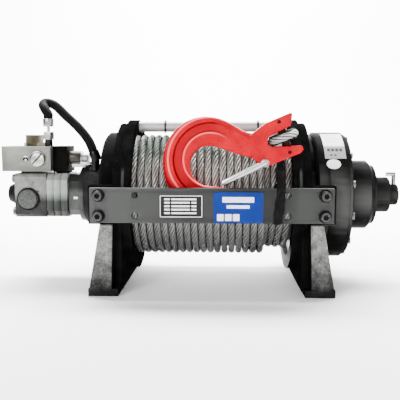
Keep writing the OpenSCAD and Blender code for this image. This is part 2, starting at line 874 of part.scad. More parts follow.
module brake_housing() {
    foot_t = 12;
    foot_step = 14;
    foot_r = brake_r + foot_step;
    color([0.2, 0.2, 0.2]) mirror([1, 0, 0]) difference() {
        union() {
            disc(brake_x, brake_l, brake_r);
            disc(brake_x, foot_t, foot_r);
        }
        disc(brake_x - over, brake_l - brake_wall + over, brake_bore);
        disc(brake_x, brake_l + over, shaft_d / 2 + run_clear);
        translate([brake_port_x, brake_port_y, brake_port_z - brake_port_depth])
            cylinder(h = brake_r, r = brake_stub_r + run_clear);
    }
}

module brake_discs() {
    color([0.5, 0.45, 0.3]) mirror([1, 0, 0])
        for (k = [0:brake_disc_count - 1])
            disc(brake_stack_x - (k + 1) * brake_pitch, brake_disc_t, brake_bore - 4, shaft_d / 2);
}

module brake_plates() {
    color([0.5, 0.5, 0.5]) mirror([1, 0, 0])
        for (k = [0:brake_disc_count])
            disc(brake_stack_x - k * brake_pitch - brake_plate_t - end_clear, brake_plate_t, brake_bore, shaft_d / 2 + 4);
}

motor_cut = 13;
gerotor_groove = 1;
gerotor_groove_w = 1.2;
gerotor_plates = 3;
motor_rim_r = 57;
motor_rim_l = motor_flange_l / 3;

module motor_flange() {
    small_share = 0.94;
    step_l = 2;
    joint_w = 4;
    color([0.4, 0.42, 0.41]) mirror([1, 0, 0]) difference() {
        union() {
            disc(motor_x, motor_rim_l, motor_rim_r);
            slab_x(motor_x, motor_flange_l - step_l) translate([0, axis_h])
                polygon(cut_corners(motor_w * small_share, motor_h * small_share, motor_cut));
            disc(gerotor_x - joint_w, joint_w, motor_h / 2 - joint_w);
        }
        disc(motor_x - over, shaft_left_x - motor_x + end_clear + over, shaft_d / 2 + run_clear);
    }
}

module gerotor_section() {
    plate_l_each = gerotor_l / gerotor_plates;
    color([0.6, 0.62, 0.61]) mirror([1, 0, 0]) {
        slab_x(gerotor_x, gerotor_l) translate([0, axis_h])
            polygon(cut_corners(motor_w - 2 * gerotor_groove, motor_h - 2 * gerotor_groove, motor_cut));
        for (k = [0:gerotor_plates - 1])
            slab_x(gerotor_x + k * plate_l_each, plate_l_each - gerotor_groove_w) translate([0, axis_h])
                polygon(cut_corners(motor_w, motor_h, motor_cut));
    }
}

boss_r = 25;
boss_l = 25;
motor_screw_d = 10;
motor_screw_l = 24;
motor_head_l = 8;
motor_screw_y_share = 0.34;
motor_screw_z_share = 0.38;
port_plug_r = 19;
port_neck_r = 15;
port_shift = 4;
stud_r = 3;
stud_l = 9;
stud_drop = 4;
motor_head_share = 0.9;
port_seat_r = 23;
port_plug_l = 6;
port_drop = 7;
port_x = motor_end_x + motor_end_l / 2 + port_shift;

module motor_end_housing() {
    color([0.45, 0.46, 0.45]) mirror([1, 0, 0]) difference() {
        slab_x(motor_end_x, motor_end_l) translate([0, axis_h]) polygon(cut_corners(motor_w, motor_h, motor_cut / 2));
        motor_screw_places() disc(motor_out_x - motor_screw_l, motor_screw_l + over, motor_screw_d / 2 + run_clear);
        bar_y(port_x, -motor_w / 2 - over, axis_h - port_drop, port_plug_l + over, port_neck_r + run_clear);
    }
}

module motor_screw_places() {
    for (y = [-1, 1] * motor_w * motor_screw_y_share) for (z = [-1, 1] * motor_h * motor_screw_z_share)
        translate([0, y, z]) children();
}

module motor_screws() {
    color([0.3, 0.3, 0.3]) mirror([1, 0, 0]) motor_screw_places() {
        disc(motor_out_x - motor_screw_l + end_clear, motor_screw_l, motor_screw_d / 2);
        on_axis(motor_out_x) cylinder(h = motor_head_l, r = motor_screw_d * motor_head_share, $fn = 6);
    }
    color([0.7, 0.7, 0.7]) mirror([1, 0, 0]) translate([0, 2 * stud_r - motor_rim_r, -stud_drop])
        disc(motor_x + motor_rim_l, stud_l, stud_r);
}

module motor_end_boss() {
    rim = 8;
    color([0.08, 0.08, 0.08]) mirror([1, 0, 0])
        turned(motor_out_x, [[0, 0], [boss_r, 0], [boss_r, boss_l - 2 * rim], [boss_r - rim, boss_l], [0, boss_l]]);
}

module motor_port_plug() {
    ring_l = 4;
    color([0.5, 0.5, 0.5]) mirror([1, 0, 0]) {
        bar_y(port_x, -motor_w / 2 - ring_l, axis_h - port_drop, ring_l, port_seat_r);
        bar_y(port_x, -motor_w / 2 - ring_l - port_plug_l, axis_h - port_drop, port_plug_l, port_plug_r);
        bar_y(port_x, -motor_w / 2 - ring_l, axis_h - port_drop, ring_l + port_plug_l, port_neck_r);
    }
}

// Valve block and its fittings

block_past = 22;
block_out_x = motor_out_x + block_past;
block_in_x = block_out_x - block_l;
block_gap = 5;
block_z = axis_h + motor_h / 2 + block_gap;
block_y = -55;
manifold_inset = 10;
spool_l = 30;
spool_w = 60;
adapter_r = 15;
adapter_l = 28;

module valve_block() {
    seat_l = motor_end_l - 2 * manifold_inset;
    color([0.72, 0.72, 0.7]) mirror([1, 0, 0]) difference() {
        union() {
            box([block_in_x, block_y, block_z], [block_out_x, block_y + block_w, block_z + block_h]);
            box([motor_end_x + manifold_inset, block_y + 2 * manifold_inset, block_z - block_gap],
                [motor_end_x + manifold_inset + seat_l, block_y + block_w - manifold_inset, block_z + over]);
        }
        bar_y(small_plug_x, block_y - over, plug_z, plug_depth + over, small_plug_r + run_clear);
        bar_y(big_plug_x, block_y - over, plug_z, plug_depth + over, big_plug_neck_r + run_clear);
        translate([fitting_x, fitting_y, block_z + block_h - plug_depth]) cylinder(h = plug_depth + over, r = fitting_neck_r + run_clear);
        translate([hose_x, hose_y, block_z + block_h - plug_depth]) cylinder(h = plug_depth + over, r = hose_stem_r + run_clear);
    }
}

plug_z = block_z + block_h / 2;
plug_depth = 10;
small_plug_r = 5.5;
plug_shift = 1;
small_plug_x = block_in_x + block_l / 2 + plug_shift;
big_plug_r = 15;
big_plug_neck_r = 13;
big_plug_x = block_in_x + block_l / 4 + plug_shift;
big_plug_stand = 4;
slot_w = 3;
slot_depth = 2;
fitting_in = 44;
fitting_x = block_in_x + fitting_in;
fitting_y = -14;
fitting_r = 18.5;
fitting_neck_r = 14.5;
fitting_h = 16;
hose_in = 6;
hose_x = block_in_x + hose_in;
hose_y = -42;
hose_stem_r = 3;
fitting_foot_r = 23;
fitting_foot_h = 7;

module valve_plugs() {
    color([0.75, 0.75, 0.75]) mirror([1, 0, 0]) {
        bar_y(small_plug_x, block_y, plug_z, plug_depth - end_clear, small_plug_r);
        difference() {
            union() {
                bar_y(big_plug_x, block_y, plug_z, plug_depth - end_clear, big_plug_neck_r);
                bar_y(big_plug_x, block_y - big_plug_stand, plug_z, big_plug_stand, big_plug_r);
            }
            translate([big_plug_x, block_y - big_plug_stand, plug_z]) rotate([0, 45, 0])
                cube([2 * big_plug_r + over, 2 * slot_depth, slot_w], center = true);
        }
    }
}

module valve_spool_body() {
    inset = 6;
    drop = 2;
    bridge_in = 4;
    bridge_back = 2;
    color([0.08, 0.08, 0.08]) mirror([1, 0, 0]) {
        box([block_in_x - spool_l, block_y + block_w - spool_w - inset, block_z - drop],
            [block_in_x, block_y + block_w - inset, block_z + block_h]);
        box([gerotor_x + bridge_in, -spool_w / 4, axis_h + motor_h / 2],
            [block_in_x - bridge_back, spool_w / 4, block_z + over]);
    }
}

adapter_y = -16;
adapter_stub = 10;
adapter_neck_r = 10;
elbow_l = 13;
bracket_t = 11;
bracket_w = 27;
bracket_in = 9;
module valve_adapter() {
    adapter_x = block_in_x - spool_l - adapter_l;
    flange_top = axis_h + motor_rim_r + pass_clear;
    color([0.62, 0.6, 0.52]) mirror([1, 0, 0]) {
        translate([0, adapter_y, plug_z - axis_h]) disc(adapter_x, adapter_l, adapter_r);
        translate([0, adapter_y, plug_z - axis_h]) disc(adapter_x - adapter_stub, adapter_stub, adapter_neck_r);
        box([adapter_x - elbow_l, adapter_y - elbow_l / 2, axis_h + brake_r + pass_clear],
            [adapter_x - pass_clear, adapter_y + elbow_l / 2, plug_z + elbow_l / 2]);
        box([motor_x + over, adapter_y - adapter_r, flange_top],
            [motor_x + over + bracket_w, adapter_y + adapter_r, flange_top + bracket_t]);
        box([motor_x - bracket_in, adapter_y - adapter_r, axis_h + brake_r + pass_clear],
            [motor_x + 2 * over, adapter_y + adapter_r, flange_top + bracket_t]);
    }
}

module port_fitting() {
    color([0.6, 0.55, 0.38]) mirror([1, 0, 0]) translate([fitting_x, fitting_y, block_z + block_h]) {
        translate([0, 0, end_clear - plug_depth]) cylinder(h = plug_depth, r = fitting_neck_r);
        cylinder(h = fitting_foot_h, r = fitting_foot_r, $fn = 6);
        translate([0, 0, fitting_foot_h]) cylinder(h = fitting_h, r = fitting_r);
    }
}

// Hose from the valve block to the brake, on its real route, given from the middle of the winch and the axis

hose_r = hose_d / 2;
hose_route = [
    [-334, -42, axis_h + 157], [-334, -42, axis_h + 161], [-334, -42, axis_h + 165], [-342, -36, axis_h + 176],
    [-349, -24, axis_h + 186], [-343, -15, axis_h + 190], [-326, -16, axis_h + 184], [-303, -20, axis_h + 163],
    [-276, -24, axis_h + 138], [-256, -26, axis_h + 113], [-246, -27, axis_h + 90]
];
hose_steps = 5;
crimp_r = 11;
crimp_l = 20;
upper_crimp_l = 16;
nut_r = 11;
hose_foot_r = 8;
brake_stub_r = 9;
nut_h = 15;
hose_foot_h = 14;
hose_points = spline(hose_route, hose_steps);
hose_end = hose_route[len(hose_route) - 1];
brake_port_x = 242;
brake_port_y = -28;
brake_port_z = axis_h + sqrt(brake_r * brake_r - brake_port_y * brake_port_y);
brake_port_depth = 4;

module brake_hose() {
    color([0.06, 0.06, 0.06]) tube(hose_points, hose_r, 10, [0, 1, 0]);
}

module hose_fittings() {
    top_z = block_z + block_h;
    start = hose_route[0];
    color([0.7, 0.7, 0.72]) {
        translate([start[0], start[1], 0]) {
            translate([0, 0, top_z + end_clear - plug_depth]) cylinder(h = plug_depth, r = hose_stem_r);
            translate([0, 0, top_z]) cylinder(h = hose_foot_h, r = hose_foot_r);
            translate([0, 0, top_z + hose_foot_h]) cylinder(h = nut_h, r = nut_r, $fn = 6);
            translate([0, 0, top_z + hose_foot_h + nut_h - over])
                cylinder(h = start[2] - upper_crimp_l - top_z - hose_foot_h - nut_h + over, r = hose_stem_r);
            translate([0, 0, start[2] - end_clear - upper_crimp_l]) cylinder(h = upper_crimp_l, r = crimp_r);
        }
        brake_end_fitting();
    }
}

// The lower fitting stands on the brake housing and takes the end of the hose
module brake_end_fitting() {
    way = unit(hose_points[len(hose_points) - 2] - hose_end);
    translate([-brake_port_x, brake_port_y, brake_port_z - brake_port_depth + run_clear])
        cylinder(h = hose_end[2] - brake_port_z, r = brake_stub_r);
    translate(hose_end - pass_clear * way) rotate([0, acos(way[2]), atan2(way[1], way[0])])
        translate([0, 0, -crimp_l]) cylinder(h = crimp_l, r = crimp_r);
}

// Hook

hook_gap = 0.6;
hook_y = -plate_back + hook_gap + hook_t / 2;
throat_x = -2;
throat_rise = 65;
throat_z = axis_h + throat_rise;
pin_x = 133.5;
pin_rise = 119.7;
pin_z = axis_h + pin_rise;
fork_tilt = 20.3;

// Fork of the hook, with its length axis tilted up and its pins across it
ear_reach = 38;
fork_shares = [
    [-1.75, -0.52], [-1.4, -1.02], [-1.1, -1.06], [0.48, -1.0], [0.68, -0.87], [0.66, -0.68],
    [-0.55, -0.29], [-0.55, 0.29], [0.46, 0.4], [0.72, 0.88], [0.7, 1.0], [-0.64, 0.93], [-1.35, 0.7], [-1.75, 0.5]
];
slot_r = 11;
slot_end = 21;
retaining_place = 29.4;
pin_bore_share = 0.97;
load_pin_share = 0.96;

// Stations of the bowl as angle, share of the throat radius to the centre line, and shares of it
// for the half width, and of the half thickness, from the point upwards
hook_sides = 16;
bowl_steps = 2;
bowl_shares = [
    [-50, 1.64, 0.1, 0.35], [-54, 1.61, 0.2, 0.6], [-64, 1.54, 0.36, 0.85], [-76, 1.51, 0.5, 1],
    [-92, 1.55, 0.58, 1], [-110, 1.6, 0.62, 1], [-130, 1.63, 0.645, 1], [-155, 1.65, 0.655, 1],
    [-180, 1.67, 0.67, 1], [-205, 1.72, 0.7, 1], [-230, 1.77, 0.735, 1], [-252, 1.76, 0.735, 1],
    [-270, 1.72, 0.71, 1]
];
// Stations of the shank as shares of the throat radius from the throat centre, with half width
shank_shares = [[0.52, 1.59, 0.68, 1], [1.1, 1.33, 0.62, 1], [1.6, 1.13, 0.58, 1]];
// Stations inside the fork, as shares of its reach along and across it
root_shares = [[-1.42, 0.06, 0.6, 0.98], [-1.05, 0.05, 0.5, 0.95]];
square_share = 0.65;

function fork_point(u, v) = [pin_x + u * cos(fork_tilt) - v * sin(fork_tilt), hook_y,
    pin_z + u * sin(fork_tilt) + v * cos(fork_tilt)];
hook_line = spline(concat(
    [for (s = bowl_shares) [throat_x + throat_r * s[1] * cos(s[0]), hook_y, throat_z + throat_r * s[1] * sin(s[0])]],
    [for (s = shank_shares) [throat_x + throat_r * s[0], hook_y, throat_z + throat_r * s[1]]],
    [for (s = root_shares) fork_point(ear_reach * s[0], ear_reach * s[1])]
), bowl_steps);
hook_halves = spline(concat(
    [for (s = bowl_shares) [throat_r * s[2], hook_t / 2 * s[3]]],
    [for (s = shank_shares) [throat_r * s[2], hook_t / 2 * s[3]]],
    [for (s = root_shares) [ear_reach * s[2], hook_t / 2 * s[3]]]
), bowl_steps);
function squared(c) = sign(c) * pow(abs(c), square_share);

module forged_bowl() {
    rings = len(hook_line);
    points = [for (i = [0:rings - 1])
        let (t = along(hook_line, i), side = [t[2], 0, -t[0]])
        for (j = [0:hook_sides - 1])
            let (a = 360 * j / hook_sides)
                hook_line[i] + hook_halves[i][0] * squared(cos(a)) * side + [0, hook_halves[i][1] * squared(sin(a)), 0]];
    polyhedron(points, ring_faces(rings, hook_sides), convexity = 10);
}

module at_fork() {
    translate([pin_x, hook_y, pin_z]) rotate([0, -fork_tilt, 0]) children();
}

latch_pivot_u = -49;
latch_pivot_v = -32.5;
latch_pivot = fork_point(latch_pivot_u, latch_pivot_v);
latch_fall = 27;

module hook_body() {
    color([0.8, 0.05, 0.08]) difference() {
        union() {
            forged_bowl();
            at_fork() slab_y(-hook_t / 2, hook_t) polygon(ear_reach * fork_shares);
        }
        at_fork() translate([-slot_end, hook_t, 0]) rotate([90, 0, 0]) cylinder(h = 2 * hook_t, r = slot_r);
        at_fork() cylinder(h = 2 * ear_reach * pin_bore_share, r = load_pin_d / 2 + run_clear, center = true);
        at_fork() for (v = [-1, 1] * retaining_place)
            bar_y(0, -hook_t / 2 - over, v, hook_t + 2 * over, retaining_pin_d / 2 + run_clear);
        translate([latch_pivot[0], hook_y, latch_pivot[2]])
            bar_y(0, -hook_t / 2 - over, 0, hook_t + 2 * over, latch_pin_d / 2 + run_clear);
    }
}

module hook_load_pin() {
    color([0.75, 0.05, 0.08]) at_fork() difference() {
        cylinder(h = 2 * ear_reach * load_pin_share, r = load_pin_d / 2, center = true);
        for (v = [-1, 1] * retaining_place)
            bar_y(0, -load_pin_d, v, 2 * load_pin_d, retaining_pin_d / 2 + run_clear);
    }
}

module hook_retaining_pins() {
    color([0.2, 0.05, 0.05]) at_fork()
        for (v = [-1, 1] * retaining_place) bar_y(0, -hook_t / 2, v, hook_t, retaining_pin_d / 2);
}

// The safety latch, a folded sheet on its own pin, lies from the pivot down to the point
latch_cheek_h = 9;
latch_eye_r = 7.5;
latch_back = 21;

module at_latch() {
    translate(latch_pivot) rotate([0, 180 - latch_fall, 0]) children();
}

module hook_latch() {
    cheek_y = hook_t / 2 + pass_clear;
    color([0.8, 0.82, 0.82]) at_latch() {
        for (y = [cheek_y, -cheek_y - latch_t]) {
            bar_y(0, y, 0, latch_t, latch_eye_r);
            box([0, y, -latch_cheek_h / 2], [latch_l, y + latch_t, latch_cheek_h / 2]);
        }
        box([latch_back, -cheek_y - over, -latch_cheek_h / 2],
            [latch_l, cheek_y + over, latch_t - latch_cheek_h / 2]);
        bar_y(0, -cheek_y - latch_t, 0, 2 * (cheek_y + latch_t), latch_pin_d / 2);
    }
}

// Rope eye on its thimble round the load pin, pulled back over the drum

pull_turn = 12;
thimble_wall = 1.5;
thimble_in_r = eye_r - rope_r - thimble_wall;
thimble_rim = 2;
thimble_out_r = eye_r + thimble_rim;
thimble_half = 9;
eye_shift = thimble_in_r - load_pin_d / 2 - run_clear;
eye_gap = 0.2;
eye_open = 38;
eye_steps = 22;
eye_mouth = 31;
ferrule_r = 15;
eye_leg = rope_r + eye_gap;
eye_route = concat(
    [[eye_leg, eye_mouth, 0], [eye_leg, eye_mouth - rope_r / 2, 0]],
    [for (k = [0:eye_steps])
        let (a = 90 - eye_open - (360 - 2 * eye_open) * k / eye_steps) [eye_r * cos(a), eye_r * sin(a), 0]],
    [[-eye_leg, eye_mouth - rope_r / 2, 0], [-eye_leg, eye_mouth, 0]]
);

module at_eye() {
    at_fork() rotate([0, 0, pull_turn]) translate([0, eye_shift, 0]) children();
}

module hook_thimble() {
    color([0.75, 0.76, 0.76]) at_eye() difference() {
        cylinder(h = 2 * thimble_half, r = thimble_out_r, center = true);
        cylinder(h = 2 * thimble_half + over, r = thimble_in_r, center = true);
        rotate_extrude() translate([eye_r, 0]) circle(r = rope_r + run_clear);
        translate([-2 * eye_leg, eye_r * cos(eye_open), -thimble_half - over])
            cube([4 * eye_leg, eye_r, 2 * thimble_half + 2 * over]);
    }
}

module rope_eye() {
    color([0.75, 0.77, 0.75]) at_eye() tube(eye_route, rope_r, 8, [0, 0, 1]);
}

module rope_ferrule() {
    color([0.7, 0.7, 0.72]) at_eye() bar_y(0, eye_mouth, 0, ferrule_l, ferrule_r);
}

// The rope from the ferrule back to the end of the winding
pull_way = [-sin(pull_turn) * cos(fork_tilt), cos(pull_turn), -sin(pull_turn) * sin(fork_tilt)];
lead_start = [pin_x, hook_y, pin_z] + (eye_shift + eye_mouth + ferrule_l + end_clear) * pull_way;
lead_end = outer_turn_points[outer_rings] - [0, rope_d + end_clear, 0];
lead_route = [
    lead_start, lead_start + rope_d * pull_way / 4, lead_start + rope_d * pull_way / 2,
    (lead_start + lead_end) / 2 + [0, 0, eye_gap],
    lead_end - [0, rope_d / 2, 0], lead_end - [0, rope_d / 4, 0], lead_end
];
lead_steps = 4;

module rope_lead() {
    color([0.7, 0.72, 0.7]) tube(spline(lead_route, lead_steps), rope_r, 8, [0, 0, 1]);
}

// The strap hangs behind the lower ear, goes over the tie plate, round it and up behind it
strap_off = strap_t / 2 + pass_clear;
strap_top_x = 124;
strap_foot_x = 121;
strap_lean = 3;
strap_rise = 63;
strap_tail = 8;
plate_top_z = plate_z + plate_h / 2;
plate_low_z = plate_z - plate_h / 2;
ear_back = hook_y + hook_t / 2;
strap_back_y = ear_back + strap_off;
strap_front_y = -plate_front - strap_off;
// Points of the fall as shares of its lean, of its way to the front and of its rise
fall_shares = [[1, 0, 1], [0.7, 0, 0.7], [0.4, 0.15, 0.5], [0.1, 0.5, 0.29], [0, 0.85, 0.143], [0, 1, 0.032]];
strap_line = concat(
    [for (s = fall_shares) [strap_top_x + s[0] * strap_lean,
        strap_back_y + s[1] * (strap_front_y - strap_back_y), plate_top_z + s[2] * strap_rise]],
    [
        [strap_foot_x, strap_front_y, plate_low_z],
        [strap_foot_x, -plate_front, plate_low_z - strap_off],
        [strap_foot_x, -plate_back, plate_low_z - strap_off],
        [strap_foot_x, -plate_back + strap_off, plate_low_z],
        [strap_top_x, -plate_back + strap_off, plate_top_z],
        [strap_top_x, -plate_back + strap_off + pass_clear, plate_top_z + strap_tail]
    ]
);

module hook_strap() {
    rings = len(strap_line);
    points = [for (i = [0:rings - 1])
        let (t = along(strap_line, i), n = unit([0, t[2], -t[1]]))
        for (c = [[-1, -1], [1, -1], [1, 1], [-1, 1]])
            strap_line[i] + [strap_w / 2 * c[0], 0, 0] + strap_t / 2 * c[1] * n];
    color([0.1, 0.1, 0.1]) polyhedron(points, ring_faces(rings, 4), convexity = 10);
}

support_left();
support_right();
tie_plate();
tie_plate_screws();
tie_rod_top();
tie_rods_rear();
rod_sleeve_left();
rod_sleeve_right();
rod_washers();
rod_roller();
drum_barrel();
drum_flange_left();
drum_flange_right();
drum_bearings();
rope_core();
rope_outer_layer();
rope_lower_layer();
rope_lead();
input_shaft();
sun_carrier_1();
carrier_2();
planet_1a();
planet_1b();
planet_1c();
planet_2a();
planet_2b();
planet_2c();
gear_housing();
gear_cover();
cover_screws();
clutch_housing();
clutch_cap();
clutch_plunger();
clutch_knob();
clutch_lever();
hub_housing();
brake_housing();
brake_discs();
brake_plates();
motor_flange();
gerotor_section();
motor_end_housing();
motor_screws();
motor_end_boss();
motor_port_plug();
valve_block();
valve_spool_body();
valve_adapter();
valve_plugs();
port_fitting();
hose_fittings();
brake_hose();
hook_body();
hook_load_pin();
hook_retaining_pins();
hook_thimble();
rope_eye();
rope_ferrule();
hook_latch();
hook_strap();
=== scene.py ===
"""Looks of a hydraulic winch, built on its CAD frame. Lengths are in metres."""

import math

import bpy
import numpy as np
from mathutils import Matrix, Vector


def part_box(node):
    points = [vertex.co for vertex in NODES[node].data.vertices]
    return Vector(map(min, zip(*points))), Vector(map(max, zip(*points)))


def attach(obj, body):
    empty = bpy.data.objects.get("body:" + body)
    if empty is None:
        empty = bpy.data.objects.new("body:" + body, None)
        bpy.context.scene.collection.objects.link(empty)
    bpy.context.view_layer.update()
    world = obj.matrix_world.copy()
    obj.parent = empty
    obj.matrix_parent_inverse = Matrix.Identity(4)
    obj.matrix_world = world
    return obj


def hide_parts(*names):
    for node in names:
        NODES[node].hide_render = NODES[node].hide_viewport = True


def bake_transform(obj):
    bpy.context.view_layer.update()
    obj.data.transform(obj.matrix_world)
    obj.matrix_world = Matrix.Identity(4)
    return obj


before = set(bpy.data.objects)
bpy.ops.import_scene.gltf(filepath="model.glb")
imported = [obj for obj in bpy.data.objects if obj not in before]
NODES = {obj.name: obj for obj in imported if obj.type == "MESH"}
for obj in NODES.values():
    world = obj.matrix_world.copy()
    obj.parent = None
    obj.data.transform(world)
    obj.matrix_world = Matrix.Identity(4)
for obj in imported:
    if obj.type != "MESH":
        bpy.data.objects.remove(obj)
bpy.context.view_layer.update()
X, Y, Z = range(3)
TURN = 2 * math.pi


# Sizes of the frame and of the rope


def middle(node):
    lo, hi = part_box(node)
    return (lo + hi) / 2


def half_height(node):
    lo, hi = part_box(node)
    return (hi.z - lo.z) / 2


AXIS_Z = middle("drum_barrel").z
ROPE_R = 0.007
ROPE_D = 2 * ROPE_R
ROPE_PITCH = 0.0145
ROPE_LAY = 0.074
OUTER_R, OUTER_END_X = 0.1175, 0.106
LOWER_R, LOWER_START_X = 0.105, 0.1545
PIN = np.array([0.1335, middle("hook_body").y, AXIS_Z + 0.1197])
FORK_TILT = math.radians(20.3)
PULL_TURN = math.radians(12)
EYE_SHIFT, EYE_MOUTH, FERRULE_LONG, LEAD_GAP = 0.0065, 0.031, 0.034, 0.0005
THROAT = (-0.002, AXIS_Z + 0.078)
PLATE_LO, PLATE_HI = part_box("tie_plate")
HOUSING_R = half_height("gear_housing")


# Shader groups


def grey(tone):
    return (tone, tone, tone)


def rgb(color):
    return (*color, 1.0)


def feed(tree, socket, value):
    """Links a socket to another one, or sets it to a fixed value."""
    if isinstance(value, bpy.types.NodeSocket):
        tree.links.new(value, socket)
    else:
        socket.default_value = value


def math_node(tree, kind, a, b=0.0, clamp=False):
    node = tree.nodes.new("ShaderNodeMath")
    node.operation = kind
    node.use_clamp = clamp
    feed(tree, node.inputs[0], a)
    feed(tree, node.inputs[1], b)
    return node.outputs[0]


def plus(tree, a, b):
    return math_node(tree, "ADD", a, b)


def minus(tree, a, b):
    return math_node(tree, "SUBTRACT", a, b)


def times(tree, a, b, clamp=False):
    return math_node(tree, "MULTIPLY", a, b, clamp)


def either(tree, a, b):
    return math_node(tree, "MAXIMUM", a, b)


def far_from(tree, a, b):
    """Distance of a point at a and b from their origin."""
    return math_node(tree, "SQRT", plus(tree, times(tree, a, a), times(tree, b, b)))


def spread(tree, value, low, high, to_low=0.0, to_high=1.0):
    """Takes a value from one range to another."""
    node = tree.nodes.new("ShaderNodeMapRange")
    for socket, v in zip(node.inputs, (value, low, high, to_low, to_high)):
        feed(tree, socket, v)
    return node.outputs[0]


def above(tree, value, low, high, most=1.0):
    return spread(tree, value, low, high, 0.0, most)


def below(tree, value, low, high, most=1.0):
    return spread(tree, value, low, high, most, 0.0)


def between(tree, value, low, high, soft):
    rise = above(tree, value, low - soft, low + soft)
    return times(tree, rise, below(tree, value, high - soft, high + soft))


def mixed(tree, share, a, b):
    """Colour a, or b where share is 1; both are a colour or a socket."""
    node = tree.nodes.new("ShaderNodeMix")
    node.data_type = "RGBA"
    for index, value in ((0, share), (6, a), (7, b)):
        feed(tree, node.inputs[index], rgb(value) if isinstance(value, tuple) else value)
    return node.outputs[2]


def noise(tree, vector, scale, detail, rough=0.6):
    node = tree.nodes.new("ShaderNodeTexNoise")
    for label, value in (("Vector", vector), ("Scale", scale), ("Detail", detail), ("Roughness", rough)):
        feed(tree, node.inputs[label], value)
    return node.outputs["Fac"]


def axis_of(tree, vector, axis):
    node = tree.nodes.new("ShaderNodeSeparateXYZ")
    tree.links.new(vector, node.inputs[0])
    return node.outputs[axis]


def object_place(tree):
    return tree.nodes.new("ShaderNodeTexCoord").outputs["Object"]


def place_on(tree, axis):
    """Place of the surface along one axis of the part."""
    return axis_of(tree, object_place(tree), axis)


def side_place(tree):
    """Distance to either side of the middle of the drum."""
    return math_node(tree, "ABSOLUTE", place_on(tree, X))


def strand_place(tree):
    """Length along a strand, hose or ribbon, and share of the way round or across it."""
    uv = tree.nodes.new("ShaderNodeUVMap")
    uv.uv_map = "strand"
    return axis_of(tree, uv.outputs[0], X), axis_of(tree, uv.outputs[0], Y)


def turned_to(tree, axis, sign):
    """Cosine between the way the surface faces and one way along an axis of the part."""
    normal = tree.nodes.new("ShaderNodeTexCoord").outputs["Normal"]
    return times(tree, axis_of(tree, normal, axis), sign)


def facing(tree, axis, sign, least=0.7):
    """Share of the surface that faces one way along an axis of the part."""
    edge = 0.1
    return above(tree, turned_to(tree, axis, sign), least, least + edge)


def from_centre(tree, x, z):
    """Distance from an axis that points to the front."""
    return far_from(tree, minus(tree, place_on(tree, X), x), minus(tree, place_on(tree, Z), z))


def surface_group():
    """Cloudy tone, fine grain and small spots of a painted, cast or machined surface."""
    grain_share, spot_scale, spot_edge = 0.35, 0.45, 0.04
    tree = bpy.data.node_groups.new("surface", "ShaderNodeTree")
    sockets = (
        ("INPUT", "Color", ("Base", "Second", "Spot")),
        ("INPUT", "Float", ("Coarse", "Fine", "Spots From", "Rough Low", "Rough High")),
        ("INPUT", "Vector", ("Stretch",)),
        ("OUTPUT", "Color", ("Color",)),
        ("OUTPUT", "Float", ("Roughness", "Height")),
    )
    for side, kind, names in sockets:
        for name in names:
            tree.interface.new_socket(name, in_out=side, socket_type=f"NodeSocket{kind}")
    given, out = tree.nodes.new("NodeGroupInput").outputs, tree.nodes.new("NodeGroupOutput").inputs
    place = object_place(tree)
    stretched = tree.nodes.new("ShaderNodeVectorMath")
    stretched.operation = "MULTIPLY"
    feed(tree, stretched.inputs[0], place)
    feed(tree, stretched.inputs[1], given["Stretch"])
    cloud = noise(tree, place, given["Coarse"], 5)
    grain = noise(tree, stretched.outputs[0], given["Fine"], 3)
    spots = noise(tree, place, times(tree, given["Fine"], spot_scale), 2, 0.4)
    mask = spread(tree, spots, given["Spots From"], plus(tree, given["Spots From"], spot_edge))
    tone = plus(tree, cloud, times(tree, minus(tree, grain, 0.5), grain_share))
    base = mixed(tree, above(tree, tone, 0.36, 0.66), given["Base"], given["Second"])
    feed(tree, out["Color"], mixed(tree, mask, base, given["Spot"]))
    feed(tree, out["Roughness"], spread(tree, tone, 0.3, 0.7, given["Rough Low"], given["Rough High"]))
    feed(tree, out["Height"], minus(tree, grain, mask))
    return tree


SURFACE = surface_group()


def shader_of(material):
    return material.node_tree.nodes["Principled BSDF"]


def add_bump(material, height, strength, depth):
    """Adds relief to a material, on top of the relief that it has."""
    tree, normal = material.node_tree, shader_of(material).inputs["Normal"]
    node = tree.nodes.new("ShaderNodeBump")
    node.inputs["Strength"].default_value = strength
    node.inputs["Distance"].default_value = depth
    tree.links.new(height, node.inputs["Height"])
    if normal.is_linked:
        tree.links.new(normal.links[0].from_socket, node.inputs["Normal"])
    tree.links.new(node.outputs["Normal"], normal)


def recolor(material, share, color):
    """Puts a second colour over the material's own where share is 1."""
    tree, target = material.node_tree, shader_of(material).inputs["Base Color"]
    tree.links.new(mixed(tree, share, target.links[0].from_socket, color), target)


def look(name, base, second, rough, metal=0.0, coarse=18.0, fine=900.0, stretch=(1, 1, 1),
         spot=grey(0.02), spots_from=1.0, strength=0.3, depth=0.0003, mirror=0.35):
    """A material with the shared surface group; the caller may add to its tree."""
    material = bpy.data.materials.new(name)
    material.use_nodes = True
    tree, shader = material.node_tree, shader_of(material)
    shader.inputs["Metallic"].default_value = metal
    shader.inputs["Specular IOR Level"].default_value = mirror
    group = tree.nodes.new("ShaderNodeGroup")
    group.node_tree = SURFACE
    for label, value in (("Base", rgb(base)), ("Second", rgb(second)), ("Spot", rgb(spot)), ("Coarse", coarse),
                         ("Fine", fine), ("Stretch", stretch), ("Spots From", spots_from),
                         ("Rough Low", rough[0]), ("Rough High", rough[1])):
        group.inputs[label].default_value = value
    tree.links.new(group.outputs["Color"], shader.inputs["Base Color"])
    tree.links.new(group.outputs["Roughness"], shader.inputs["Roughness"])
    add_bump(material, group.outputs["Height"], strength, depth)
    return material


# Shared materials


def shade_below(material, low, high, color, most):
    """Paints shade on a material towards its underside."""
    tree = material.node_tree
    recolor(material, below(tree, place_on(tree, Z), low, high, most), color)
    return material


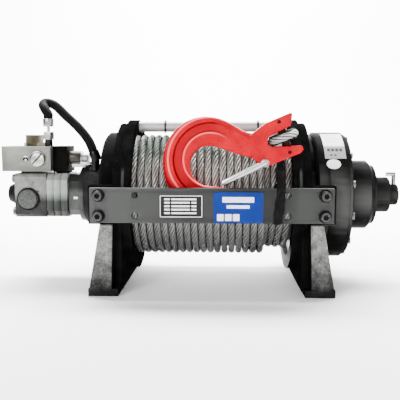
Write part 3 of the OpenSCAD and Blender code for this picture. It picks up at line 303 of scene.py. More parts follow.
def black_paint(name, gloss=(0.30, 0.46), tone=0.0048, mirror=0.03):
    return look(name, grey(tone), (tone * 1.9, tone * 1.9, tone * 1.85), gloss, coarse=22, fine=700,
                strength=0.18, depth=0.0002, mirror=mirror)


def round_black(name, gloss, tone, painted_sheen):
    """Black paint of a round housing, with a painted sheen along its front."""
    material = black_paint(name, gloss, tone, 0.004)
    tree = material.node_tree
    share = above(tree, turned_to(tree, Y, -1.0), 0.80, 1.01)
    recolor(material, times(tree, share, share), (painted_sheen, painted_sheen * 1.03, painted_sheen * 0.99))
    return material


def machined(name, base, second, stretch, metal, rough=(0.28, 0.42), spots_from=1.0):
    return look(name, base, second, rough, metal, coarse=24, fine=800, stretch=stretch, strength=0.12,
                depth=0.0002, spots_from=spots_from)


def print_look(name, color, shade):
    return look(name, color, shade, (0.4, 0.5), coarse=30, fine=500, strength=0.05, depth=0.0001, mirror=0.12)


# Supports, plate and drum


def pale_ribs(material):
    """Shows the rib faces pale grey and speckled, and darker towards the foot."""
    tree = material.node_tree
    rib_side, lug_front, rib_top, foot = (0.186, 0.187), (-0.1662, -0.1655), (0.133, 0.137), (0.035, 0.12)
    dim, pale, pit, glint = (0.092, 0.096, 0.092), (0.20, 0.205, 0.196), grey(0.012), (0.34, 0.34, 0.33)
    place, z = object_place(tree), place_on(tree, Z)
    rib = either(tree, above(tree, side_place(tree), *rib_side), below(tree, place_on(tree, Y), *lug_front))
    face = times(tree, times(tree, facing(tree, Y, -1), rib), below(tree, z, *rib_top))
    speck, blotch = noise(tree, place, 260, 4, 0.75), noise(tree, place, 60, 5, 0.65)
    tone = mixed(tree, above(tree, blotch, 0.38, 0.62), dim, pale)
    tone = mixed(tree, above(tree, speck, 0.56, 0.66, 0.8), tone, pit)
    tone = mixed(tree, below(tree, speck, 0.34, 0.40), tone, glint)
    dark = below(tree, plus(tree, z, times(tree, blotch, 0.05)), *foot, 0.96)
    recolor(material, face, mixed(tree, dark, tone, grey(0.006)))


def lit_ledge(material):
    """Greys the front of the narrow ledge just above the plate."""
    tree = material.node_tree
    ledge_x, ledge_z = (0.1637, 0.1685), (0.200, 0.236)
    ledge = times(tree, between(tree, side_place(tree), *ledge_x, 0.0006),
                  between(tree, place_on(tree, Z), *ledge_z, 0.005))
    recolor(material, times(tree, ledge, facing(tree, Y, -1)), (0.034, 0.036, 0.034))


def worn_recess(material):
    """Shows bare metal low in the right support's recess, where the flange turns."""
    tree = material.node_tree
    x, left, right, top = place_on(tree, X), (0.1520, 0.1525), (0.1680, 0.1690), (0.05, 0.09)
    recess = times(tree, above(tree, x, *left), below(tree, x, *right))
    sides = either(tree, facing(tree, X, -1), facing(tree, Z, 1, 0.3))
    worn = mixed(tree, noise(tree, object_place(tree), 90, 3), grey(0.09), (0.36, 0.36, 0.35))
    low = below(tree, place_on(tree, Z), *top)
    recolor(material, times(tree, times(tree, recess, sides), low), worn)


def cast_support():
    """Black rough casting with pale speckled rib faces, a painted highlight on the ledge and worn places."""
    material = look("cast_support", grey(0.0022), grey(0.005), (0.6, 0.8), coarse=30, fine=420, strength=0.5,
                    depth=0.0006, mirror=0.0)
    pale_ribs(material)
    lit_ledge(material)
    worn_recess(material)
    return material


def plate_paint():
    """Dark paint of the tie plate, with painted light towards both ends and darker over the right half."""
    material = look("plate_paint", (0.011, 0.0115, 0.011), (0.021, 0.022, 0.021), (0.38, 0.52), coarse=9, fine=500,
                    strength=0.2, depth=0.0002, mirror=0.2)
    tree = material.node_tree
    x = place_on(tree, X)
    left_end, right_end, right_half = (-0.19, 0.02), (0.135, 0.160), (0.03, 0.135)
    recolor(material, below(tree, x, *left_end, 0.75), (0.046, 0.048, 0.046))
    recolor(material, above(tree, x, *right_end, 0.6), (0.030, 0.033, 0.029))
    recolor(material, between(tree, x, *right_half, 0.03), (0.009, 0.0095, 0.009))
    return material


def screw_oxide_painted_light():
    """Black oxide of the plate's screws, with a painted highlight ring round each socket, painted shade in the socket
    and painted shade round the head's edge.
    """
    material = black_paint("black_oxide_painted_light", (0.22, 0.34), 0.012, 0.16)
    shader_of(material).inputs["Metallic"].default_value = 0.6
    tree = material.node_tree
    washer_r, socket_shade, ring, head_edge_shade = 0.012, (0.0044, 0.0050), (0.0048, 0.0084), (0.0085, 0.0092)
    lo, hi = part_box("tie_plate_screws")
    across = minus(tree, side_place(tree), hi.x - washer_r)
    height = math_node(tree, "ABSOLUTE", minus(tree, place_on(tree, Z), (hi.z + lo.z) / 2))
    far = far_from(tree, across, minus(tree, height, half_height("tie_plate_screws") - washer_r))
    # Painted highlight ring round the socket.
    recolor(material, between(tree, far, *ring, 0.0004), grey(0.045))
    # Painted shade in the socket and round the head's edge.
    recolor(material, either(tree, below(tree, far, *socket_shade), above(tree, far, *head_edge_shade)), grey(0.003))
    return material


def worn_flange():
    """Black paint, with the side towards the rope polished bright by it."""
    material = look("worn_flange", grey(0.003), grey(0.006), (0.42, 0.6), mirror=0.1)
    tree = material.node_tree
    inner, streak = facing(tree, X, -1), noise(tree, object_place(tree), 160, 3)
    recolor(material, inner, mixed(tree, streak, grey(0.10), (0.26, 0.26, 0.25)))
    tree.links.new(times(tree, inner, 0.9), shader_of(material).inputs["Metallic"])
    return material


# Hook


def red_paint():
    """Glossy red paint; the bowl has a sunk ring, painted highlights on the rim and on the ridge round the throat, and
    painted shade in the ring, along its outer edge and along the bowl's outer edge.
    """
    material = look("red_paint", (0.33, 0.0, 0.007), (0.46, 0.0, 0.011), (0.30, 0.42), coarse=26, fine=260,
                    strength=0.25, depth=0.0004, mirror=0.03)
    tree = material.node_tree
    far = from_centre(tree, *THROAT)
    bowl_end, sunk_ring = (0.004, 0.034), (0.0525, 0.0685)
    # Each row: from, to, share and colour; painted shade in the sunk ring, a painted highlight on the ridge round the
    # throat, painted shade along the ring's outer edge, a painted highlight on the rim, painted shade along the bowl's
    # outer edge.
    light_and_shade_rings = (
        (0.0535, 0.0670, 0.55, (0.22, 0.0, 0.004)),
        (0.0482, 0.0512, 0.75, (0.90, 0.11, 0.12)),
        (0.0662, 0.0690, 0.85, (0.08, 0.0, 0.001)),
        (0.0768, 0.0802, 0.75, (0.90, 0.15, 0.16)),
        (0.0845, 0.1200, 0.60, (0.10, 0.0, 0.001)),
    )
    bowl = below(tree, minus(tree, place_on(tree, X), THROAT[0]), *bowl_end)
    sunk = times(tree, between(tree, far, *sunk_ring, 0.0014), bowl)
    add_bump(material, times(tree, sunk, -1.0), 1.0, 0.0040)
    for low, high, share, color in light_and_shade_rings:
        ring = times(tree, between(tree, far, low, high, 0.0007), bowl)
        recolor(material, times(tree, ring, share), color)
    return material


def latch_zinc():
    """Bright zinc, with painted shade in the latch's fold and along its lower side."""
    material = look("zinc_bright", (0.42, 0.43, 0.42), (0.58, 0.59, 0.57), (0.22, 0.36), 0.9, coarse=50, fine=700,
                    strength=0.15, depth=0.0002)
    tree = material.node_tree
    latch, tilt, dark = middle("hook_latch"), math.radians(27), (0.06, 0.062, 0.06)
    fold, lower_side = (0.0002, 0.0014), (-0.0034, -0.0022)
    rise = times(tree, minus(tree, place_on(tree, Z), latch.z), math.cos(tilt))
    run = times(tree, minus(tree, place_on(tree, X), latch.x), math.sin(tilt))
    across = minus(tree, rise, run)
    recolor(material, between(tree, across, *fold, 0.0004), dark)
    recolor(material, below(tree, across, *lower_side, 0.75), dark)
    return material


def webbing():
    """Dark woven ribbon."""
    material = look("webbing", grey(0.002), grey(0.006), (0.6, 0.8), coarse=60, fine=1200, mirror=0.06)
    tree = material.node_tree
    warps, wefts_per_metre = 12, 700
    along, across = strand_place(tree)
    warp = math_node(tree, "SINE", times(tree, across, warps * TURN))
    weft = math_node(tree, "SINE", times(tree, along, wefts_per_metre * TURN))
    weave = times(tree, warp, weft)
    add_bump(material, weave, 0.6, 0.0004)
    recolor(material, above(tree, weave, 0.0, 1.0, 0.5), grey(0.010))
    return material


# Rope and hose


def wire(name, tinted_and_shaded):
    """Galvanised strand with fine wires, with painted shade between the wires and in the grooves between the strands.
    """
    material = look(name, (0.50, 0.51, 0.49), (0.32, 0.33, 0.31), (0.24, 0.42), 0.6, coarse=40, fine=1400,
                    strength=0.1, depth=0.0001, mirror=0.2)
    tree = material.node_tree
    wires, twists_per_metre = 9, 30
    along, around = strand_place(tree)
    phase = plus(tree, times(tree, around, wires * TURN), times(tree, along, twists_per_metre * TURN))
    ridge = math_node(tree, "ABSOLUTE", math_node(tree, "SINE", times(tree, phase, 0.5)))
    add_bump(material, ridge, 0.7, 0.00035)
    # Painted shade between the wires.
    recolor(material, below(tree, ridge, 0.0, 0.35, 0.5), (0.06, 0.062, 0.058))
    # Painted shade on each strand's inner side, in the grooves between strands.
    crown = math_node(tree, "COSINE", times(tree, around, TURN))
    recolor(material, below(tree, crown, 0.15, 0.75, 0.95), (0.012, 0.013, 0.012))
    if tinted_and_shaded:
        grease_and_shade(material)
    return material


def grease_and_shade(material):
    """Paints the winding green on top, partly a grease tint and partly a painted dark reflection, and paints shade
    below; both with less metal.
    """
    tree = material.node_tree
    z, cloud = place_on(tree, Z), noise(tree, object_place(tree), 14, 3)
    green_from, dark_from, metal, less = (0.040, 0.090), (-0.116, -0.018), 0.6, 0.55
    # Green on top: a grease tint and a painted dark reflection.
    top = above(tree, z, AXIS_Z + green_from[0], AXIS_Z + green_from[1], 0.94)
    green = times(tree, top, spread(tree, cloud, 0.42, 0.60, 0.55, 1.15), True)
    recolor(material, green, (0.024, 0.038, 0.026))
    # Painted shade on the lower turns.
    under = below(tree, z, AXIS_Z + dark_from[0], AXIS_Z + dark_from[1], 0.96)
    recolor(material, under, grey(0.012))
    left = minus(tree, metal, times(tree, either(tree, green, under), less))
    tree.links.new(left, shader_of(material).inputs["Metallic"])


def rubber():
    """Smooth black hose with a faint wrapped lay."""
    material = look("hose_rubber", grey(0.0018), grey(0.004), (0.5, 0.7), coarse=60, strength=0.2, mirror=0.05)
    tree = material.node_tree
    wraps_per_metre = 160
    along, around = strand_place(tree)
    phase = plus(tree, times(tree, along, wraps_per_metre * TURN), times(tree, around, TURN))
    add_bump(material, math_node(tree, "SINE", phase), 0.2, 0.0003)
    return material


def fitting_zinc():
    """Dull zinc of the hose's fittings; the one at the brake and the foot of the upper one are black."""
    material = look("fitting_zinc", grey(0.26), (0.38, 0.38, 0.37), (0.22, 0.36), 0.9, coarse=50, fine=700,
                    strength=0.15, depth=0.0002)
    tree = material.node_tree
    x, split, foot_top = place_on(tree, X), (-0.28, -0.275), (AXIS_Z + 0.114, AXIS_Z + 0.115)
    foot = times(tree, below(tree, place_on(tree, Z), *foot_top), below(tree, x, *split))
    recolor(material, either(tree, above(tree, x, *split), foot), grey(0.01))
    return material


# Motor and valve block


def flange_casting():
    """Casting of the motor flange, with painted shade on its upper half."""
    material = look("flange_casting", (0.03, 0.031, 0.03), (0.065, 0.068, 0.065), (0.4, 0.6), 0.2, coarse=35,
                    fine=500, strength=0.5, depth=0.0004, mirror=0.15)
    tree = material.node_tree
    upper_z = (AXIS_Z + 0.006, AXIS_Z + 0.016)
    recolor(material, above(tree, place_on(tree, Z), *upper_z, 0.85), (0.005, 0.0055, 0.005))
    return material


def motor_screw_steel():
    """Dark screw heads and bright bare shanks."""
    material = look("dark_steel", grey(0.05), grey(0.12), (0.3, 0.45), 0.7)
    tree, shank_x = material.node_tree, (-0.300, -0.299)
    recolor(material, above(tree, place_on(tree, X), *shank_x), (0.75, 0.75, 0.74))
    return material


def port_plastic():
    """Grained plastic plug with a black rim."""
    material = look("port_plastic", (0.040, 0.042, 0.040), (0.080, 0.084, 0.078), (0.55, 0.7), coarse=240, fine=1100,
                    strength=0.8, depth=0.0005, mirror=0.1)
    tree = material.node_tree
    plug, plug_r = middle("motor_port_plug"), half_height("motor_port_plug")
    far = from_centre(tree, plug.x, plug.z)
    recolor(material, above(tree, far, plug_r * 0.84, plug_r * 0.88), grey(0.002))
    return material


def plug_zinc():
    """Zinc of the block's plugs: a black ring on the small one, a dark rim on the big one and painted shade in its
    slot.
    """
    material = machined("plug_zinc", (0.34, 0.34, 0.32), (0.48, 0.48, 0.46), (0.3, 1, 1), 0.85, (0.24, 0.4))
    tree = material.node_tree
    (lo, hi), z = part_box("valve_plugs"), middle("valve_block").z
    small_x, small_ring = -0.379, (0.0026, 0.0062)
    recolor(material, between(tree, from_centre(tree, small_x, z), *small_ring, 0.0004), grey(0.004))
    big_r = half_height("valve_plugs")
    far = from_centre(tree, hi.x - big_r, z)
    recolor(material, between(tree, far, big_r * 0.90, big_r * 1.1, 0.0003), (0.05, 0.05, 0.048))
    # Painted shade in the big plug's slot.
    sunk = above(tree, place_on(tree, Y), lo.y + 0.0004, lo.y + 0.0008)
    recolor(material, times(tree, sunk, below(tree, far, big_r * 0.94, big_r * 0.96)), grey(0.03))
    return material


def adapter_bronze():
    """Dark bronze adapter with a bright elbow and lower end."""
    material = look("adapter_bronze", (0.018, 0.017, 0.013), (0.040, 0.037, 0.029), (0.3, 0.45), 0.6, coarse=45,
                    fine=600)
    tree = material.node_tree
    elbow_x, end_z = (-0.2725, -0.2715), (0.2415, 0.2425)
    bare = either(tree, above(tree, place_on(tree, X), *elbow_x), below(tree, place_on(tree, Z), *end_z))
    recolor(material, bare, (0.45, 0.45, 0.43))
    return material


def knurled_olive(centre):
    """Olive metal with straight flutes round an upright axis, with painted shade in the flutes' grooves."""
    material = look("knurled_olive", (0.10, 0.085, 0.05), (0.20, 0.17, 0.105), (0.3, 0.45), 0.85, coarse=40,
                    strength=0.15, depth=0.0002)
    tree = material.node_tree
    flutes = 60
    x, y = minus(tree, place_on(tree, X), centre.x), minus(tree, place_on(tree, Y), centre.y)
    flute = math_node(tree, "SINE", times(tree, math_node(tree, "ARCTAN2", y, x), flutes))
    add_bump(material, flute, 0.8, 0.0008)
    recolor(material, below(tree, flute, -1.0, 0.2, 0.6), (0.05, 0.045, 0.03))
    return material


# Mesh helpers


def piece(name, verts, faces, material, body, smooth=True, uvs=None):
    mesh = bpy.data.meshes.new(name)
    mesh.from_pydata([tuple(v) for v in verts], [], faces)
    if uvs is not None:
        layer = mesh.uv_layers.new(name="strand")
        layer.data.foreach_set("uv", np.asarray(uvs, np.float32).ravel())
    mesh.polygons.foreach_set("use_smooth", [smooth] * len(mesh.polygons))
    mesh.materials.append(material)
    mesh.update()
    obj = bpy.data.objects.new(name, mesh)
    bpy.context.scene.collection.objects.link(obj)
    if body:
        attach(obj, body)
    return obj


def fix_normals(obj):
    """Turns all faces outwards, judged by the signed volume."""
    mesh = obj.data
    co = np.zeros(len(mesh.vertices) * 3)
    mesh.vertices.foreach_get("co", co)
    co = co.reshape(-1, 3)
    volume = 0.0
    for poly in mesh.polygons:
        v = [co[i] for i in poly.vertices]
        for a, b in zip(v[1:-1], v[2:]):
            volume += float(np.dot(v[0], np.cross(a, b)))
    if volume < 0:
        mesh.flip_normals()


def unit(v):
    return v / np.linalg.norm(v, axis=-1, keepdims=True)


def run_of(path):
    """Distance along a path at each of its points."""
    return np.concatenate([[0], np.cumsum(np.linalg.norm(np.diff(path, axis=0), axis=1))])


def axes_across(path, guide):
    """Two axes across a path at each of its points, the first near the guide."""
    way = unit(np.gradient(path, axis=0))
    a = unit(guide - (guide * way).sum(1, keepdims=True) * way)
    return a, np.cross(way, a)


def tube(path, guide, radius, sides):
    """Points, faces and UV of a closed tube."""
    a, b = axes_across(path, guide)
    turn = 2 * np.pi * np.arange(sides) / sides
    ring = np.cos(turn)[None, :, None] * a[:, None, :] + np.sin(turn)[None, :, None] * b[:, None, :]
    verts = (path[:, None, :] + radius * ring).reshape(-1, 3)
    far, n = run_of(path), len(path)
    i, j = np.meshgrid(np.arange(n - 1), np.arange(sides), indexing="ij")
    k = (j + 1) % sides
    quads = np.stack([i * sides + j, i * sides + k, (i + 1) * sides + k, (i + 1) * sides + j], -1).reshape(-1, 4)
    uv = np.stack([
        np.stack([far[i], j / sides], -1), np.stack([far[i], (j + 1) / sides], -1),
        np.stack([far[i + 1], (j + 1) / sides], -1), np.stack([far[i + 1], j / sides], -1)], 2).reshape(-1, 2)
    faces = quads.tolist() + [list(range(sides))[::-1], list(range((n - 1) * sides, n * sides))]
    ends = np.concatenate([np.full((sides, 2), far[0]), np.full((sides, 2), far[-1])])
    return verts, faces, np.concatenate([uv, ends])


def joined(parts):
    verts, faces, uvs, offset = [], [], [], 0
    for v, f, uv in parts:
        verts.append(v)
        faces += [[q + offset for q in face] for face in f]
        uvs.append(uv)
        offset += len(v)
    return np.concatenate(verts), faces, np.concatenate(uvs)


def laid_rope(path, guide, sides=6):
    """Strands laid right-handed round the rope's path."""
    strands, strand_r, press = 6, ROPE_R / 3, 1.02
    a, b = axes_across(path, guide)
    far = run_of(path)
    parts = []
    for k in range(strands):
        phase = (2 * np.pi * (far / ROPE_LAY + k / strands))[:, None]
        out = np.cos(phase) * a + np.sin(phase) * b
        parts.append(tube(path + (ROPE_R - strand_r) * out, out, strand_r * press, sides))
    return joined(parts)


def smooth_way(points, steps):
    """A smooth way through chosen points, with steps points on each stretch."""
    p = np.asarray(points, float)
    out = []
    for i in range(len(p) - 1):
        a, b, c, d = p[max(i - 1, 0)], p[i], p[i + 1], p[min(i + 2, len(p) - 1)]
        for u in np.arange(steps) / steps:
            out.append((2 * b + (c - a) * u + (2 * a - 5 * b + 4 * c - d) * u**2
                        + (3 * b - a - 3 * c + d) * u**3) / 2)
    return np.array(out + [p[-1]])


def slab(x0, x1, z0, z1, y_front, thick, corner):
    """A flat plate with round corners that faces the front."""
    arc, outline = 5, []
    for cx, cz, start in ((x1 - corner, z0 + corner, -90), (x1 - corner, z1 - corner, 0),
                          (x0 + corner, z1 - corner, 90), (x0 + corner, z0 + corner, 180)):
        for k in range(arc + 1):
            angle = math.radians(start + 90 * k / arc)
            outline.append((cx + corner * math.cos(angle), cz + corner * math.sin(angle)))
    n = len(outline)
    verts = [(x, y, z) for y in (y_front, y_front + thick) for x, z in outline]
    faces = [list(range(n)), list(range(n, 2 * n))[::-1]]
    faces += [[i, i + n, (i + 1) % n + n, (i + 1) % n] for i in range(n)]
    return verts, faces


def soften(node, width, smooth=True):
    """Rounds the sharp edges of a CAD node a little."""
    obj, sharp = NODES[node], math.radians(32.0)
    weld = obj.modifiers.new("weld", "WELD")
    weld.merge_threshold = 1e-5
    bevel = obj.modifiers.new("bevel", "BEVEL")
    bevel.width = width
    bevel.segments = 2
    bevel.limit_method = "ANGLE"
    bevel.angle_limit = sharp
    bevel.harden_normals = smooth
    obj.data.polygons.foreach_set("use_smooth", [smooth] * len(obj.data.polygons))


def forge(node):
    """Gives a CAD node the soft edges of a forging."""
    obj = NODES[node]
    even = obj.modifiers.new("even", "REMESH")
    even.mode = "VOXEL"
    even.voxel_size = 0.0011
    even.use_smooth_shade = True
    relax = obj.modifiers.new("relax", "SMOOTH")
    relax.factor = 0.5
    relax.iterations = 6


def paint(material, *names):
    for name in names:
        mesh = NODES[name].data
        mesh.materials.clear()
        mesh.materials.append(material)
        mesh.polygons.foreach_set("material_index", [0] * len(mesh.polygons))


# Rope pieces


def on_turn(x, layer, angle):
    return np.stack([x, layer * np.cos(angle), AXIS_Z + layer * np.sin(angle)], -1)


def winding(name, node, layer, first_x, last_x, first_angle, last_angle, material, sink=0.0):
    """One layer of the winding, with straight ends one rope diameter long; its last turn may sink a little."""
    rings_per_turn, sink_from, sink_over = 96, 1.5, 0.5
    turns = abs(last_angle - first_angle) / TURN
    count = int(round(turns * rings_per_turn))
    angle = np.linspace(first_angle, last_angle, count + 1)
    x = np.linspace(first_x, last_x, count + 1)
    share = np.clip(np.linspace(0, 1, count + 1) * turns - (turns - sink_from), 0, sink_over) / sink_over
    path = on_turn(x, layer - sink * share, angle)
    step = unit(path[1] - path[0]) * ROPE_D / 2
    last = unit(path[-1] - path[-2]) * ROPE_D / 2
    path = np.concatenate([[path[0] - 2 * step, path[0] - step], path, [path[-1] + last, path[-1] + 2 * last]])
    guide = path * np.array([0, 1, 1]) - np.array([0, 0, AXIS_Z])
    verts, faces, uvs = laid_rope(path, guide)
    obj = piece(name, verts, faces, material, "drum", uvs=uvs)
    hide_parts(node)
    return path


def fork_point(u, v, w=0.0):
    """A point of the fork, u along it, v across it upwards and w to the back."""
    c, s = math.cos(FORK_TILT), math.sin(FORK_TILT)
    return PIN + np.array([u * c - v * s, w, u * s + v * c])


def eye_point(x, y):
    """A point of the rope eye, which is pulled back over the drum from the fork pin."""
    y = y + EYE_SHIFT
    c, s = math.cos(PULL_TURN), math.sin(PULL_TURN)
    return fork_point(x * c - y * s, 0.0, x * s + y * c)


def rope_eye(material):
    """The rope's eye: a round bend with two straight legs that run into the ferrule."""
    eye_r, leg, open_angle = 0.023, 0.0072, math.radians(38)
    angles = np.linspace(math.pi / 2 - open_angle, math.pi / 2 + open_angle - TURN, 60)
    heights = (EYE_MOUTH, EYE_MOUTH - 0.0018, EYE_MOUTH - 0.0035)
    line = [(leg, y) for y in heights]
    line += [(eye_r * math.cos(a), eye_r * math.sin(a)) for a in angles]
    line += [(-leg, y) for y in heights[::-1]]
    path = np.array([eye_point(x, y) for x, y in line])
    guide = np.broadcast_to(fork_point(0, 1) - fork_point(0, 0), path.shape)
    verts, faces, uvs = laid_rope(path, guide, sides=8)
    obj = piece("laid_eye", verts, faces, material, "hook", uvs=uvs)
    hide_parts("rope_eye")


def rope_lead(end, material):
    """The short stretch of rope from the ferrule to the end of the outer layer."""
    start = eye_point(0, EYE_MOUTH + FERRULE_LONG + LEAD_GAP)
    way = unit(eye_point(0, 1.0) - eye_point(0, 0.0))
    end = end - np.array([0, LEAD_GAP, 0])
    back = np.array([0, ROPE_D, 0])
    rise = np.array([0, 0, 0.0002])
    route = [start, start + way * ROPE_D / 4, start + way * ROPE_D / 2, (start + end) / 2 + rise,
             end - back / 2, end - back / 4, end]
    path = smooth_way(route, 10)
    guide = np.broadcast_to(np.array([0, 0, 1.0]), path.shape)
    verts, faces, uvs = laid_rope(path, guide, sides=8)
    obj = piece("laid_lead", verts, faces, material, None, uvs=uvs)
    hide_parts("rope_lead")
    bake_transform(obj)


def ropes():
    """Both layers of the winding, the eye round the thimble and the lead between them."""
    galvanised, clean = wire("wire_wound", True), wire("wire_clean", False)
    steps, top = 24, math.pi / 2
    count = math.floor((OUTER_END_X + LOWER_START_X) / ROPE_PITCH * steps)
    start_x = OUTER_END_X - ROPE_PITCH * count / steps
    path = winding("laid_outer_layer", "rope_outer_layer", OUTER_R, start_x, OUTER_END_X,
                   top - count * TURN / steps, top, galvanised)
    lower_count, lower_start, lower_pitch, lower_sink = 89, math.radians(15), 0.0141, 0.0011
    end_x = LOWER_START_X - lower_pitch * lower_count / steps
    winding("laid_lower_layer", "rope_lower_layer", LOWER_R, LOWER_START_X, end_x,
            lower_start, lower_start + lower_count * TURN / steps, galvanised, lower_sink)
    rope_eye(clean)
    rope_lead(path[-1], clean)


def hose():
    """The hose from the valve block to the brake; its route is in millimetres, upwards from the drum's axis."""
    hose_r = 0.0095
    route = [(-334, -42, 157), (-334, -42, 161), (-334, -42, 165), (-342, -36, 176), (-349, -24, 186),
             (-343, -15, 190), (-326, -16, 184), (-303, -20, 163), (-276, -24, 138), (-256, -26, 113), (-246, -27, 90)]
    path = smooth_way(np.array(route) / 1000 + np.array([0, 0, AXIS_Z]), 10)
    guide = np.broadcast_to(np.array([0, 1.0, 0]), path.shape)
    verts, faces, uvs = tube(path, guide, hose_r, 28)
    obj = piece("bent_hose", verts, faces, rubber(), "frame", uvs=uvs)
    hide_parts("brake_hose")


# Strap


def strap_way(off, front, back, top, rise):
    """Middle line of the ribbon, with points about one step apart."""
    step = 0.003
    falls = [(1, 0, 1), (0.7, 0, 0.7), (0.4, 0.15, 0.5), (0.1, 0.5, 0.29), (0, 0.85, 0.143), (0, 1, 0.032)]
    line = [(0.1285 + 0.001 * a, top + b * (front - top), PLATE_HI.z + c * rise) for a, b, c in falls]
    line += [(0.122, front, PLATE_LO.z), (0.121, PLATE_LO.y, PLATE_LO.z - off), (0.121, PLATE_HI.y, PLATE_LO.z - off),
             (0.121, back, PLATE_LO.z), (0.124, back, PLATE_HI.z), (0.124, back + 0.0003, PLATE_HI.z + 0.008)]
    path = []
    for a, b in zip(line[:-1], line[1:]):
        a, b = np.array(a), np.array(b)
        count = max(2, int(np.linalg.norm(b - a) / step))
        path += [a + (b - a) * k / count for k in range(count)]
    return np.array(path + [line[-1]])


def ribbon(path, width):
    """Points, faces and UV of a worn ribbon that ripples and wanders a little along its path."""
    cross, half, thin_edge, full = 13, 0.0009, 0.45, 0.94
    ripple, drift, flutter = 0.0007, 0.0009, 0.0007
    ripple_rate, fold_rate, drift_rate, flutter_rate = 330, 90, 95, 260
    ripple_skew, fold_skew, drift_skew, drift_start = 3.1, 5.2, 1.7, 1.3
    way = unit(np.gradient(path, axis=0))
    side = np.array([1.0, 0, 0])
    out = unit(np.cross(np.broadcast_to(side, path.shape), way))
    far = run_of(path)
    n, per = len(path), 2 * cross
    verts = []
    for i, d in enumerate(far):
        for face in (1, -1):
            for s in np.linspace(-1, 1, cross):
                fold = math.cos(fold_skew * s + d * fold_rate)
                wave = ripple * (1 + math.sin(d * ripple_rate + ripple_skew * s) * fold)
                edge = half * (1 - thin_edge * s**6)
                shift = drift * math.sin(d * drift_rate + drift_start + drift_skew * s)
                shift += flutter * math.sin(d * flutter_rate + s) * s
                verts.append(path[i] + side * (width / 2 * s * full + shift) + out[i] * (face * edge + wave))
    ring = list(range(cross)) + list(range(per - 1, cross - 1, -1))
    faces, uvs = [], []
    for i in range(n - 1):
        for j in range(per):
            k = (j + 1) % per
            faces.append([i * per + ring[j], i * per + ring[k], (i + 1) * per + ring[k], (i + 1) * per + ring[j]])
            uvs += [(far[i], j / per), (far[i], (j + 1) / per), (far[i + 1], (j + 1) / per), (far[i + 1], j / per)]
    faces += [ring[::-1], [(n - 1) * per + q for q in ring]]
    return verts, faces, uvs + [(0, 0)] * (2 * per)


def strap():
    """A flat ribbon from the hook's ear down over the tie plate and round its lower edge."""
    off, rise, width = 0.0015, 0.063, 0.018
    front, back, top = PLATE_LO.y - off, PLATE_HI.y + off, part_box("hook_body")[1].y + off
    path = strap_way(off, front, back, top, rise)
    verts, faces, uvs = ribbon(path, width)
    obj = piece("ribbon_strap", verts, faces, webbing(), None, uvs=uvs)
    fix_normals(obj)
    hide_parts("hook_strap")
    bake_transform(obj)


# Labels


def flat_label(name, x0, x1, z0, z1, y, thick, corner, material):
    verts, faces = slab(x0, x1, z0, z1, y - thick, thick, corner)
    fix_normals(piece(name, verts, faces, material, "frame", smooth=False))


def data_plate(black, white):
    """A small black plate with a white border and rows of blank fields."""
    x0, x1, z0, z1 = -0.0955, -0.0150, AXIS_Z - 0.0285, AXIS_Z + 0.0143
    thick, ink, edge, line = 0.0006, 0.00012, 0.0014, 0.0011
    flat_label("data_plate", x0, x1, z0, z1, PLATE_LO.y, thick, 0.0012, black)
    y = PLATE_LO.y - thick
    a0, a1, b0, b1 = x0 + edge, x1 - edge, z0 + edge, z1 - edge
    borders = ((a0, a1, b1 - line, b1), (a0, a1, b0, b0 + line), (a0, a0 + line, b0, b1), (a1 - line, a1, b0, b1))
    for k, sides in enumerate(borders):
        flat_label(f"data_border_{k}", *sides, y, ink, 0.0003, white)
    rows, above_rows, round_rows, field_top, field_foot = 5, 0.0045, 0.008, 0.10, 0.58
    outer_row, inner_row = ((0.008, 0.018), (0.021, 0.067)), ((0.008, 0.018), (0.021, 0.055), (0.058, 0.067))
    gap = (b1 - b0 - round_rows) / rows
    for k in range(rows):
        top = b1 - above_rows - k * gap
        low, high = top - gap * field_foot, top - gap * field_top
        for m, (p, q) in enumerate(outer_row if k in (0, rows - 1) else inner_row):
            flat_label(f"data_field_{k}_{m}", a0 + p, a0 + q, low, high, y, ink, 0.0004, white)


def blue_label(blue, white):
    """A plain blue label with blank white bars and squares."""
    x0, x1, z0, z1 = 0.0045, 0.0950, AXIS_Z - 0.0375, AXIS_Z + 0.0190
    thick, ink = 0.0005, 0.0001
    flat_label("blue_label", x0, x1, z0, z1, PLATE_LO.y, thick, 0.003, blue)
    y = PLATE_LO.y - thick
    bars = ((0.016, 0.074, 0.0085, 0.0185), (0.024, 0.066, 0.0235, 0.0295))
    for k, (p, q, r, s) in enumerate(bars):
        flat_label(f"blue_bar_{k}", x0 + p, x0 + q, z1 - s, z1 - r, y, ink, 0.0012, white)
    wide, pitch, low, high = 0.0118, 0.0145, z0 + 0.004, z0 + 0.0165
    for k in range(3):
        left = x0 + 0.0065 + k * pitch
        flat_label(f"blue_square_{k}", left, left + wide, low, high, y, ink, 0.0006, white)


def housing_point(x, angle, r):
    """A point on the gear housing; the angle counts from the top towards the front."""
    return (x, -r * math.sin(angle), AXIS_Z + r * math.cos(angle))


